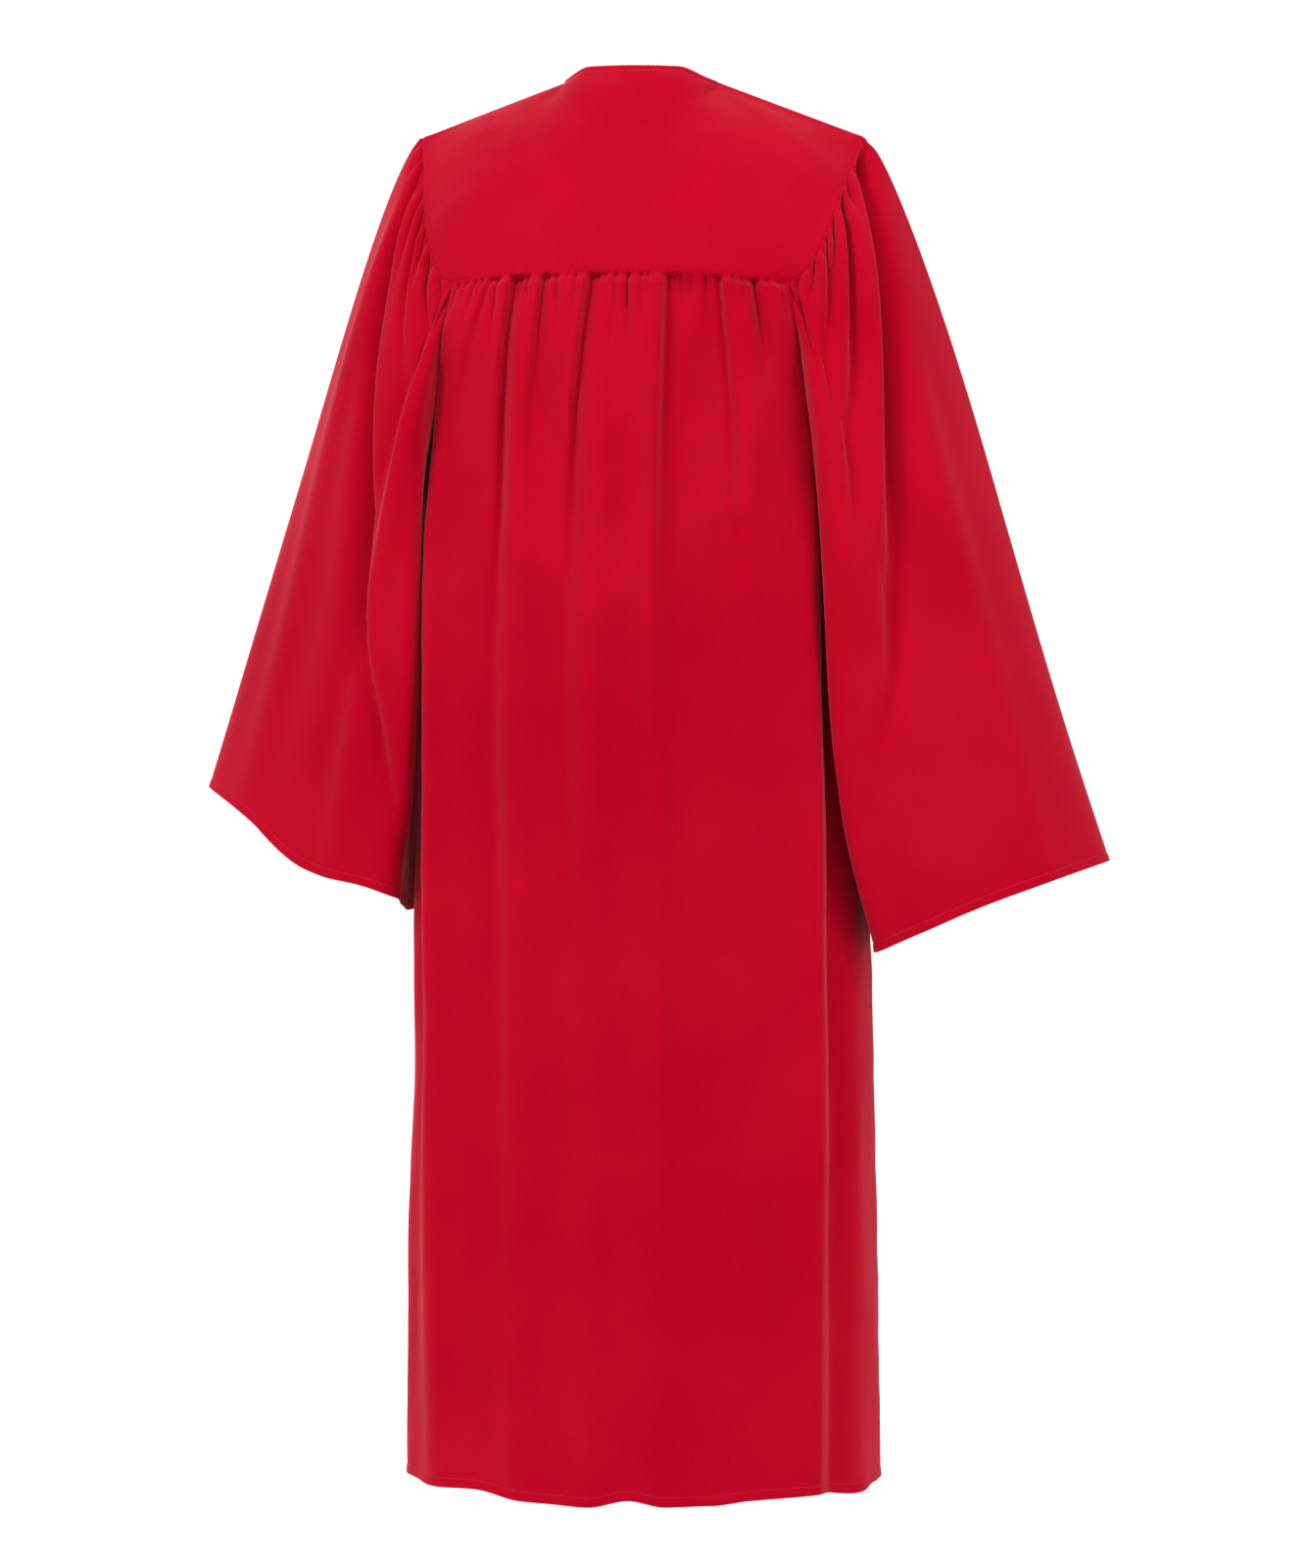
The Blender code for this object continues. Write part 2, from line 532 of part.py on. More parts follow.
def yoke_normal(side, u, v):
    e = 1e-4
    u = np.asarray(u, float)
    v = np.asarray(v, float)
    low = 0.0 if side < 0 else -1.0
    du = yoke(side, np.clip(u + e, low, 1), v) - yoke(side, np.clip(u - e, low, 1), v)
    dv = yoke(side, u, np.clip(v + e, 0, 1)) - yoke(side, u, np.clip(v - e, 0, 1))
    return unit(np.cross(du, dv)) * side


# The armhole: a loop from the shoulder over the back, under the arm and up the front.

def armhole(detail):
    """Knots of the loop at +X: points, body normals and places around, in four quarters."""
    rows = [r for r in YOKE_ROWS]
    back = [YOKE_DROP_BACK + r for r in BODY_ROWS_BACK]
    front = [YOKE_DROP_FRONT + r for r in BODY_ROWS_FRONT]
    if detail > 1:
        rows = finer([0.0] + rows[1:], detail)
        back = finer([YOKE_DROP_BACK] + back, detail)[1:]
        front = finer([YOKE_DROP_FRONT] + front, detail)[1:]
    parts = []
    v = np.array(rows)
    parts.append((yoke(1, np.ones_like(v), v), yoke_normal(1, np.ones_like(v), v)))
    parts.append(armhole_edge(1, np.array(back)))
    parts.append(armhole_edge(-1, np.array(front[:-1])[::-1]))
    parts.append((yoke(-1, np.ones_like(v), v)[::-1], yoke_normal(-1, np.ones_like(v), v)[::-1]))
    points = np.concatenate([p for p, n in parts])
    normals = np.concatenate([n for p, n in parts])
    marks = [0, len(v) - 1, len(v) - 1 + len(back), len(v) - 1 + len(back) + len(front), len(points) - 1]
    steps = np.concatenate([[0.0], np.cumsum(np.linalg.norm(np.diff(points, axis=0), axis=1))])
    place = np.zeros(len(points))
    for q in range(4):
        i, j = marks[q], marks[q + 1]
        place[i:j + 1] = (q + (steps[i:j + 1] - steps[i]) / (steps[j] - steps[i])) / 4
    normals[0] = unit(normals[0] + normals[-1])
    return points[:-1], normals[:-1], place[:-1], marks


def finer(values, detail):
    out = [values[0]]
    for a, b in zip(values[:-1], values[1:]):
        out += [a + (b - a) * k / detail for k in range(1, detail + 1)]
    return out


def armhole_edge(side, drops):
    p = []
    n = []
    for drop in drops:
        phi = float(edge_phi(side, drop))
        e = 1e-4
        q = ring(side, drop, phi)
        along = ring(side, drop, phi - e) - ring(side, drop, phi + e)
        down = ring(side, drop + e, phi) - ring(side, drop - e, phi)
        p.append(q)
        n.append(unit(np.cross(along, down) * side))
    return np.array(p), np.array(n)


FINE_LOOP = armhole(6)


def loop_point(u):
    points, normals, place, marks = FINE_LOOP
    xs = np.concatenate([place, [1.0]])
    ps = np.concatenate([points, points[:1]])
    u = np.mod(u, 1.0)
    return np.stack([np.interp(u, xs, ps[:, k]) for k in range(3)], axis=-1)


def sleeve_base(table, u, v):
    """Unfolded sleeve at +X: from the armhole to the cuff."""
    u = np.asarray(u, float)
    v = np.asarray(v, float)
    key = column(table, 0)
    leave = np.stack([loop_curve(key, column(table, k), u) for k in (1, 2, 3)], axis=-1)
    cuff = np.stack([loop_curve(key, column(table, k), u) for k in (4, 5, 6)], axis=-1)
    arrive = np.stack([loop_curve(key, column(table, k), u) for k in (7, 8, 9)], axis=-1)
    start = loop_point(u)
    v = v[..., None]
    return ((1 + 2 * v) * (1 - v) ** 2 * start + v * (1 - v) ** 2 * leave
            + v * v * (3 - 2 * v) * cuff + v * v * (v - 1) * arrive)


def sleeve_depth(folds, u, v):
    d = np.zeros(np.broadcast(u, v).shape)
    for at_top, at_cuff, half_top, half_low, depth, start, reach in folds:
        middle = at_top + (at_cuff - at_top) * np.clip(v, 0, 1) ** 0.9
        half = half_top + (half_low - half_top) * smooth(v / reach)
        share = smooth(v / start) * (1 - smooth((v - 0.3 * reach) / (0.7 * reach)))
        off = np.mod(u - middle + 0.5, 1.0) - 0.5
        d = d - depth * share * np.exp(-(off / half) ** 2)
    return d + 0.0030 * smooth(v / 0.03) * (1 - smooth((np.abs(np.mod(u, 1.0) - 0.5) - 0.05) / -0.06))


def sleeve_row(table, folds, u, v):
    """Folded ring of a sleeve at +X: points and outward normals."""
    u = np.asarray(u, float)
    v = np.full_like(u, v)
    e = 2e-3
    pu = (sleeve_base(table, u + e, v) - sleeve_base(table, u - e, v)) / (2 * e)
    va = np.clip(v - e, 0, 1)
    vb = np.clip(v + e, 0, 1)
    pv = (sleeve_base(table, u, vb) - sleeve_base(table, u, va)) / (vb - va)[:, None]
    normal = unit(np.cross(pv, pu))
    d = sleeve_depth(folds, u, v)
    f = 5e-4
    du = (sleeve_depth(folds, u + f, v) - sleeve_depth(folds, u - f, v)) / (2 * f)
    dv = (sleeve_depth(folds, u, v + f) - sleeve_depth(folds, u, v - f)) / (2 * f)
    n = unit(np.cross(pv + dv[:, None] * normal, pu + du[:, None] * normal))
    return sleeve_base(table, u, v) + d[:, None] * normal, n


# Seam lines. Pieces that meet share knots, and each stands back to its own side.

def loop_seam(table, detail=1):
    """The armhole's knots with the normal and the sideways direction that both cloths share."""
    points, body_normal, place, marks = armhole(detail)
    tangent = unit(np.roll(points, -1, axis=0) - np.roll(points, 1, axis=0))
    key = column(table, 0)
    leave = unit(np.stack([loop_curve(key, column(table, k), place) for k in (1, 2, 3)], axis=-1))
    sleeve_normal = unit(np.cross(leave, tangent))
    body_normal = unit(body_normal - tangent * np.sum(body_normal * tangent, axis=1)[:, None])
    shared = unit(body_normal + sleeve_normal)
    for k in range(2):
        shared = unit(shared + 0.5 * np.roll(shared, 1, axis=0) + 0.5 * np.roll(shared, -1, axis=0))
    side = unit(np.cross(shared, tangent))
    return dict(points=points, normals=shared, side=side, place=place, marks=marks)


def blend_knots(seam, at):
    """Values of a seam at places between its knots, in straight steps."""
    xs = np.concatenate([seam["place"], [1.0]])
    out = []
    for name in ("points", "normals", "side"):
        ys = np.concatenate([seam[name], seam[name][:1]])
        out.append(np.stack([np.interp(np.mod(at, 1.0), xs, ys[:, k]) for k in range(3)], axis=-1))
    return out[0], unit(out[1]), unit(out[2])


def flip(v):
    return v * np.array([-1.0, 1.0, 1.0])


# Cloth pieces as closed walls, built from rows of points.

def strip(params_a, params_b, points_a, points_b):
    """Triangles between two rows as pairs of (row, index)."""
    i = 0
    j = 0
    faces = []
    while i < len(params_a) - 1 or j < len(params_b) - 1:
        if j == len(params_b) - 1:
            step_a = True
        elif i == len(params_a) - 1:
            step_a = False
        else:
            pa = params_a[i + 1]
            pb = params_b[j + 1]
            if abs(pa - pb) < 1e-7:
                one = np.linalg.norm(points_a[i + 1] - points_b[j])
                two = np.linalg.norm(points_a[i] - points_b[j + 1])
                step_a = one < two
            else:
                step_a = pa < pb
        if step_a:
            faces.append(((0, i), (0, i + 1), (1, j)))
            i += 1
        else:
            faces.append(((0, i), (1, j + 1), (1, j)))
            j += 1
    return faces


def wall(name, rows, closed, material, thickness=WALL):
    """Closed wall from rows of (points, normals, params)."""
    verts = []
    starts = []
    for points, normals, params in rows:
        starts.append(len(verts))
        verts.extend(points)
    inner = len(verts)
    for points, normals, params in rows:
        verts.extend(points - thickness * normals)
    faces = []

    def index(r, k):
        count = len(rows[r][0])
        return starts[r] + (k % count if closed else k)

    for r in range(len(rows) - 1):
        pa, na, sa = rows[r]
        pb, nb, sb = rows[r + 1]
        if closed:
            pa = np.concatenate([pa, pa[:1]])
            pb = np.concatenate([pb, pb[:1]])
            sa = np.concatenate([sa, [sa[0] + 1.0]])
            sb = np.concatenate([sb, [sb[0] + 1.0]])
        for face in strip(sa, sb, pa, pb):
            ids = [index(r + a, k) for a, k in face]
            faces.append(ids)
            faces.append([q + inner for q in reversed(ids)])
    rims = []
    first = [index(0, k) for k in range(len(rows[0][0]) + (1 if closed else 0))]
    last = [index(len(rows) - 1, k) for k in range(len(rows[-1][0]) + (1 if closed else 0))]
    rims += list(zip(first[1:], first[:-1]))
    rims += list(zip(last[:-1], last[1:]))
    if not closed:
        left = [index(r, 0) for r in range(len(rows))]
        right = [index(r, len(rows[r][0]) - 1) for r in range(len(rows))]
        rims += list(zip(left[:-1], left[1:]))
        rims += list(zip(right[1:], right[:-1]))
    for a, b in rims:
        faces.append([a, b, b + inner])
        faces.append([a, b + inner, a + inner])
    return make(name, np.array(verts), faces, material)


def settle(v):
    """The gown hangs slightly uneven: its left shoulder up and its hem to the right."""
    x = v[..., 0]
    z = v[..., 2]
    high = 1 - smooth((-z - 0.05) / 0.35)
    side = LEAN * x + LEAN_LEFT * (np.sqrt(x * x + 0.0016) - 0.04)
    return np.stack([x - SWAY * smooth((-z - 0.5) / 0.5), v[..., 1], z + side * high], axis=-1)


def make(name, verts, faces, material, smooth_angle=40.0, placed=True):
    if placed:
        verts = settle(verts)
    tri = np.array([(f[0], f[k], f[k + 1]) for f in faces for k in range(1, len(f) - 1)])
    a, b, c = verts[tri[:, 0]], verts[tri[:, 1]], verts[tri[:, 2]]
    if np.sum(a * np.cross(b, c)) < 0:
        faces = [list(reversed(f)) for f in faces]
    mesh = bpy.data.meshes.new(name)
    mesh.from_pydata([tuple(map(float, v)) for v in verts], [], [tuple(map(int, f)) for f in faces])
    mesh.update()
    mesh.materials.append(material)
    mesh.shade_smooth()
    mesh.set_sharp_from_angle(angle=np.radians(smooth_angle))
    obj = bpy.data.objects.new(name, mesh)
    bpy.context.scene.collection.objects.link(obj)
    return obj


def paint(name, colour, roughness, metallic=0.0):
    m = bpy.data.materials.new(name)
    m.use_nodes = True
    shader = m.node_tree.nodes["Principled BSDF"]
    shader.inputs["Base Color"].default_value = colour
    shader.inputs["Roughness"].default_value = roughness
    shader.inputs["Metallic"].default_value = metallic
    m.diffuse_color = colour
    return m


def spaced(values, parts):
    out = [values[0]]
    for a, b, n in zip(values[:-1], values[1:], parts):
        out += [a + (b - a) * k / n for k in range(1, n + 1)]
    return np.array(out)


def across_places(side, drop, level):
    """Places of the columns of a body row; folds get a column each, the rest is even."""
    t = drop - CORNERS[side][0]
    end = half_length(side, drop)
    table = BACK_FOLDS if side > 0 else FRONT_FOLDS
    places = sorted(row[0] + row[1] * t for row in table
                    if row[2] < 0.0065 and (level == 0 or row[6] > 0.11))
    start = -end if side > 0 else OPENING_HALF
    places = [p for p in places if start + 0.006 < p < end - 0.006]
    knots = [start] + places + [end]
    step = (0.0044, 0.0085, 0.013, 0.020)[level]
    parts = [max(1, int(round((b - a) / step))) for a, b in zip(knots[:-1], knots[1:])]
    if level == 0:
        parts = [max(n, 2) for n in parts]
        parts[0] = max(parts[0], 2)
    return spaced(knots, parts)


def even_places(side, drop, count):
    end = half_length(side, drop)
    if side > 0:
        return np.linspace(-end, end, count + 1)
    return np.linspace(OPENING_HALF, end, count + 1)


def row_places(side, drop):
    t = drop - CORNERS[side][0]
    if t < 0.05:
        return across_places(side, drop, 0)
    if t < 0.12:
        return across_places(side, drop, 1)
    if t < 0.40:
        return across_places(side, drop, 2)
    return even_places(side, drop, 34 if side > 0 else 17)


def yoke_knots(side):
    """Places across a yoke; the shoulder part has seven steps on both sides of its seam."""
    share = NECK_SHARE_BACK if side > 0 else NECK_SHARE_FRONT
    shoulder = np.linspace(share, 1.0, 8)
    if side > 0:
        neck = np.linspace(-share, share, 13)
        return np.concatenate([-shoulder[::-1][:-1], neck, shoulder[1:]])
    return np.concatenate([np.linspace(0.0, share, 7), shoulder[1:]])


def seam_line(side, loop, knots):
    """Knots of a yoke's lower seam with shared normals; the corners take the armhole's."""
    p = yoke_seam(side, knots)
    n = unit(yoke_normal(side, knots, np.ones_like(knots)) * np.array([1.0, 1.0, 0.25]))
    end = loop["marks"][1] if side > 0 else loop["marks"][3]
    n[-1] = loop["normals"][end]
    if side > 0:
        n[0] = flip(loop["normals"][end])
    return p, n


def along_seam(p, n, x):
    order = p[:, 0]
    points = np.stack([np.interp(x, order, p[:, k]) for k in range(3)], axis=-1)
    normals = np.stack([np.interp(x, order, n[:, k]) for k in range(3)], axis=-1)
    return points, unit(normals)


UP = np.array([0.0, 0.0, 1.0])
BACKWARD = np.array([0.0, 1.0, 0.0])


def build_back_yoke(loop, material):
    knots = yoke_knots(1)
    seam_p, seam_n = seam_line(1, loop, knots)
    rows = []
    neck = np.abs(knots) < NECK_SHARE_BACK - 1e-6
    for r, v in enumerate(YOKE_ROWS):
        vv = np.full_like(knots, v)
        p = yoke(1, knots, vv)
        n = yoke_normal(1, knots, vv)
        if r == 0:
            up = unit(np.array([SHOULDER_FALL, 0.0, SHOULDER_HALF - NECK_HALF]))
            n[~neck] = up * np.stack([np.sign(knots[~neck])] + [np.ones((~neck).sum())] * 2, axis=-1)
            p[~neck] += SHIFT * BACKWARD
        if r == len(YOKE_ROWS) - 1:
            p = seam_p + SHIFT * UP
            n = seam_n.copy()
        for end, sign in ((0, -1), (-1, 1)):
            edge = loop["side"][r]
            normal = loop["normals"][r]
            if sign < 0:
                edge, normal = flip(edge), flip(normal)
            p[end] = p[end] + SHIFT * edge
            n[end] = normal
        rows.append((p, n, knots))
    return wall("back_yoke", rows, False, material)


def build_front_yoke(name, sign, loop, material):
    knots = yoke_knots(-1)
    seam_p, seam_n = seam_line(-1, loop, knots)
    count = len(loop["points"])
    neck = knots < NECK_SHARE_FRONT - 1e-6
    rows = []
    for r, v in enumerate(YOKE_ROWS):
        vv = np.full_like(knots, v)
        p = yoke(-1, knots, vv)
        n = yoke_normal(-1, knots, vv)
        if r == 0:
            n[~neck] = unit(np.array([SHOULDER_FALL, 0.0, SHOULDER_HALF - NECK_HALF]))
            p[~neck] -= SHIFT * BACKWARD
        if r == len(YOKE_ROWS) - 1:
            p = seam_p + SHIFT * UP
            n = seam_n.copy()
        at = (count - r) % count
        p[-1] = p[-1] + SHIFT * loop["side"][at]
        n[-1] = loop["normals"][at]
        if sign < 0:
            p, n = flip(p), flip(n)
        rows.append((p, n, knots))
    return wall(name, rows, False, material)


def side_seam_normal(side, drop):
    e = 1e-4
    p = ring(side, drop + e, 0.0) - ring(side, drop - e, 0.0)
    return unit(np.array([-p[2], 0.0, p[0]]))


def body_rows(side, loop):
    """Rows of a body panel with its seams; the front is built at +X."""
    knots = yoke_knots(side)
    seam_p, seam_n = seam_line(side, loop, knots)
    top = CORNERS[side][0]
    drops = [top]
    drops += [top + r for r in (BODY_ROWS_BACK if side > 0 else BODY_ROWS_FRONT)]
    drops += list(BODY_ROWS_LOW)
    upper = len(BODY_ROWS_BACK if side > 0 else BODY_ROWS_FRONT)
    first = loop["marks"][1] if side > 0 else loop["marks"][3]
    rows = []
    for r, drop in enumerate(drops):
        s = row_places(side, drop)
        if r == 0:
            base = body_base(side, drop, s)[0]
            x = np.clip(base[:, 0], seam_p[0, 0], seam_p[-1, 0])
            x[0] = seam_p[0, 0]
            x[-1] = seam_p[-1, 0]
            p, n = along_seam(seam_p, seam_n, x)
            p = p - SHIFT * UP
        else:
            p, n = body_row(side, drop, s)
        ends = ((0, -1), (-1, 1)) if side > 0 else ((-1, 1),)
        for end, sign in ends:
            if r <= upper:
                at = first + r * side
                edge = SHIFT * loop["side"][at]
                normal = loop["normals"][at]
                base = loop["points"][at].copy()
                if r == upper:
                    edge = edge + SHIFT * side * BACKWARD
                if r == 0:
                    edge = edge - SHIFT * UP
            else:
                base = ring(side, drop - float(hem_rise(side, drop, sign * half_length(side, drop))), 0.0)
                edge = SHIFT * side * BACKWARD
                normal = side_seam_normal(side, drop)
            if sign < 0:
                base, edge, normal = flip(base), flip(edge), flip(normal)
            p[end] = base + edge
            n[end] = normal
        rows.append((p, n, s))
    return rows


def build_panels(loop, material):
    out = [wall("back_panel", body_rows(1, loop), False, material)]
    front = body_rows(-1, loop)
    out.append(wall("front_panel_left", front, False, material))
    out.append(wall("front_panel_right", [(flip(p), flip(n), s) for p, n, s in front], False, material))
    return out


def sleeve_places(folds, v, loop):
    if v == 0.0:
        places = list(loop["place"])
        filled = []
        for a, b in zip(places, places[1:] + [1.0]):
            n = max(1, int(round((b - a) / 0.014)))
            filled += [a + (b - a) * k / n for k in range(n)]
        return np.array(filled)
    if v < 0.12:
        base = sorted(row[0] + (row[1] - row[0]) * v ** 0.9 for row in folds if row[2] < 0.01)
        knots = [0.0] + [p for p in base if p > 0.008] + [1.0]
        out = []
        for a, b in zip(knots[:-1], knots[1:]):
            n = max(2, int(round((b - a) / 0.019)))
            out += [a + (b - a) * k / n for k in range(n)]
        return np.array(out)
    count = 48 if v < 0.45 else 36
    return np.linspace(0, 1, count + 1)[:-1]


def build_sleeve(name, sign, table, folds, loop, material):
    rows = []
    for v in SLEEVE_ROWS:
        u = sleeve_places(folds, v, loop)
        if v == 0.0:
            p, n, edge = blend_knots(loop, u)
            p = p - SHIFT * edge
        else:
            p, n = sleeve_row(table, folds, u, v)
        if sign < 0:
            p, n = flip(p), flip(n)
        rows.append((p, n, u))
    return wall(name, rows, True, material)


# The zip.

def front_y(drop):
    """Outer face of the cloth beside the zip."""
    drop = np.asarray(drop, float)
    level = YOKE_DROP_FRONT - YOKE_LIFT_FRONT
    on_ring = ring(-1, np.maximum(drop, 0.101), np.full_like(drop, np.pi / 2))[..., 1]
    top = float(curve(column(RING, 0), column(RING, 3), V_DROP))
    low = float(curve(column(RING, 0), column(RING, 3), level))
    line = -(top + (low - top) * (drop - V_DROP) / (level - V_DROP))
    return np.where(drop < level, line, on_ring)


def front_cloth(x, drop):
    """Depth of the cloth's outer face behind which the zip's tape lies."""
    level = YOKE_DROP_FRONT - YOKE_LIFT_FRONT
    x = abs(x)
    if x <= OPENING_HALF or drop >= level:
        return float(front_y(drop))
    v = np.linspace(0.0, 1.0, 60)
    u = np.full_like(v, (x - OPENING_HALF) / (YOKE_CORNER_FRONT - OPENING_HALF))
    p = yoke(-1, u, v)
    return float(np.interp(drop, -p[:, 2], p[:, 1])) + 0.0022 * float(smooth((level - drop) / 0.012))


def zip_drops(top, foot):
    drops = [top, 0.128, 0.14, 0.152, 0.165, 0.19, 0.22, 0.28, 0.36, 0.45, 0.56, 0.68, 0.80, 0.92, 1.04, 1.15, 1.25, foot]
    return np.array([d for d in drops if top <= d <= foot])


def ribbon(name, x0, x1, top, foot, outer, thickness, material):
    """Flat band down the centre front, its outer face a given depth behind the cloth's."""
    rows = []
    for drop in zip_drops(top, foot):
        xs = np.array([x0, x1])
        if x0 < -TAPE_BEND < x1:
            xs = np.array([x0, -TAPE_BEND, x1])
        if x0 < TAPE_BEND < x1:
            xs = np.array([x0, TAPE_BEND, x1])
        y = np.array([front_cloth(x, drop) for x in xs]) + outer
        p = stack(xs, y, -drop)
        n = np.tile(np.array([0.0, -1.0, 0.0]), (len(xs), 1))
        rows.append((p, n, xs))
    return wall(name, rows, False, material, thickness)


def block(x, y, z):
    """Corners and faces of a box from its three spans."""
    verts = [(a, b, c) for a in x for b in y for c in z]
    faces = [(0, 1, 3, 2), (4, 6, 7, 5), (0, 4, 5, 1), (2, 3, 7, 6), (0, 2, 6, 4), (1, 5, 7, 3)]
    return verts, faces


def joined(name, boxes, material):
    """One solid from boxes that overlap each other."""
    first = None
    for k, (x, y, z) in enumerate(boxes):
        verts, faces = block(x, y, z)
        obj = make(name if k == 0 else name + "_part", np.array(verts), faces, material, 30.0)
        if first is None:
            first = obj
            continue
        cut = first.modifiers.new("join", "BOOLEAN")
        cut.operation = "UNION"
        cut.solver = "EXACT"
        cut.object = obj
        bpy.context.view_layer.update()
        depsgraph = bpy.context.evaluated_depsgraph_get()
        mesh = bpy.data.meshes.new_from_object(first.evaluated_get(depsgraph))
        first.modifiers.clear()
        old = first.data
        first.data = mesh
        bpy.data.meshes.remove(old)
        bpy.data.objects.remove(obj, do_unlink=True)
    first.name = name
    first.data.name = name
    return first


def frame_plate(name, half, top, foot, hole_half, hole_top, hole_foot, depth, material):
    """Flat plate in the XZ plane with one square hole, about its own origin."""
    outer = [(-half, top), (half, top), (half, foot), (-half, foot)]
    inner = [(-hole_half, hole_top), (hole_half, hole_top), (hole_half, hole_foot), (-hole_half, hole_foot)]
    verts = []
    for y in (-depth / 2, depth / 2):
        verts += [(x, y, z) for x, z in outer]
        verts += [(x, y, z) for x, z in inner]
    faces = []
    for k in range(4):
        m = (k + 1) % 4
        faces.append((k, m, 4 + m, 4 + k))
        faces.append((8 + k, 12 + k, 12 + m, 8 + m))
        faces.append((k, 8 + k, 8 + m, m))
        faces.append((4 + k, 4 + m, 12 + m, 12 + k))
    return make(name, np.array(verts), faces, material, 30.0, False)


def build_zip(tape, coil, painted):
    behind = WALL + TAPE_GAP
    for name, sign in (("zip_tape_left", 1), ("zip_tape_right", -1)):
        xs = sorted((sign * TAPE_INNER, sign * TAPE_OUTER))
        ribbon(name, xs[0], xs[1], ZIP_TOP, ZIP_FOOT, behind, TAPE_WALL, tape)
    chain_top = SLIDER_TOP + 0.0045
    ribbon("zip_chain", -CHAIN_HALF, CHAIN_HALF, chain_top, ZIP_FOOT - 0.006,
           behind - TAPE_GAP - CHAIN_WALL, CHAIN_WALL, coil)
    foot = float(front_y(ZIP_FOOT))
    stop = [((-0.0032, 0.0032), (foot + 0.0002, foot + behind - 0.0003),
             (-ZIP_FOOT + 0.0005, -ZIP_FOOT + 0.0055))]
    joined("zip_stop", stop, painted)
    y = float(front_y(SLIDER_TOP + SLIDER_HEIGHT / 2))
    slope = 0.0006
    plate = y + behind - TAPE_GAP - CHAIN_WALL - 0.0004 - slope
    outer = plate - 0.0012
    back = y + behind + TAPE_WALL + 0.0004 + slope
    z1 = -SLIDER_TOP
    z0 = z1 - SLIDER_HEIGHT
    half = 0.0046
    post = 0.0012
    arch = 0.0009
    high = outer - 0.0036
    boxes = [
        ((-half, half), (outer, plate), (z0, z1)),
        ((-post, post), (plate - 0.0003, back + 0.0003), (z1 - 0.0036, z1 - 0.0008)),
        ((-half, half), (back, back + 0.0010), (z0, z1)),
        ((-arch, arch), (high, outer + 0.0003), (z1 - 0.0014, z1 - 0.0004)),
        ((-arch, arch), (high, outer + 0.0003), (z0 + 0.0006, z0 + 0.0016)),
        ((-arch, arch), (high, high + 0.0009), (z0 + 0.0006, z1 - 0.0004)),
    ]
    joined("zip_slider", boxes, painted)
    axis = (0.0, outer - AXIS_OFF_PLATE, z1 - 0.0036)
    tab = frame_plate("zip_pull", 0.0029, 0.0006, -TAB_LENGTH, 0.0016, -0.0006, -0.0092, 0.0012, painted)
    tilt = np.radians(TAB_TILT)
    turn = np.array([[1, 0, 0], [0, np.cos(tilt), np.sin(tilt)], [0, -np.sin(tilt), np.cos(tilt)]])
    for vert in tab.data.vertices:
        vert.co = turn @ np.array(vert.co)
    tab.location = axis
    return axis


def main():
    for obj in list(bpy.data.objects):
        bpy.data.objects.remove(obj, do_unlink=True)
    cloth = paint("red_cloth", CLOTH_RED, 0.62)
    tape = paint("red_tape", TAPE_RED, 0.75)
    coil = paint("red_coil", COIL_RED, 0.40)
    painted = paint("red_painted_metal", PAINTED_RED, 0.35, 0.2)
    loop_left = loop_seam(SLEEVE_LEFT)
    loop_right = loop_seam(SLEEVE_RIGHT)
    loop = {key: (unit(loop_left[key] + loop_right[key]) if key in ("normals", "side") else loop_left[key])
            for key in loop_left}
    build_back_yoke(loop, cloth)
    build_front_yoke("front_yoke_left", 1, loop, cloth)
    build_front_yoke("front_yoke_right", -1, loop, cloth)
    build_panels(loop, cloth)
    build_sleeve("sleeve_left", 1, SLEEVE_LEFT, SLEEVE_FOLDS_LEFT, loop, cloth)
    build_sleeve("sleeve_right", -1, SLEEVE_RIGHT, SLEEVE_FOLDS_RIGHT, loop, cloth)
    build_zip(tape, coil, painted)


main()
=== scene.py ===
"""Looks of the graduation gown: fine cloth, gathers, seams, stitching, zip, studio and camera.

Metres, +Z up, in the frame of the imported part. The gown's front looks along -Y.
The cut's sizes and curves are the same as in the part's source; the folds are finer here.
"""
import math
import bpy
import numpy as np
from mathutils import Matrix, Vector


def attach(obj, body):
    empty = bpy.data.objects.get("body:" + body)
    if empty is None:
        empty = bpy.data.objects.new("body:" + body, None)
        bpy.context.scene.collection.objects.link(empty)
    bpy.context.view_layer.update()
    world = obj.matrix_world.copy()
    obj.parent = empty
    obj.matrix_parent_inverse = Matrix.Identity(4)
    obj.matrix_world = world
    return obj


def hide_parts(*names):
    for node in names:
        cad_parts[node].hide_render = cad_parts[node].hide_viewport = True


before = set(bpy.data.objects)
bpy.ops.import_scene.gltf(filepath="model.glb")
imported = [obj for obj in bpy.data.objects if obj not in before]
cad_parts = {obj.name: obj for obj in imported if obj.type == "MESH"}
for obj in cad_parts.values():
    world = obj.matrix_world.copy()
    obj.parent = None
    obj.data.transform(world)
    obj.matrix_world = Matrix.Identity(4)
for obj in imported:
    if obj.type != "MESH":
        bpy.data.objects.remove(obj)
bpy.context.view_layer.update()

WALL = 0.0016             # thickness of the solid cloth
CLOTH = 0.0008            # thickness of the shown cloth
SEAM_DEPTH = 0.0042       # how far a seam's allowance turns inward

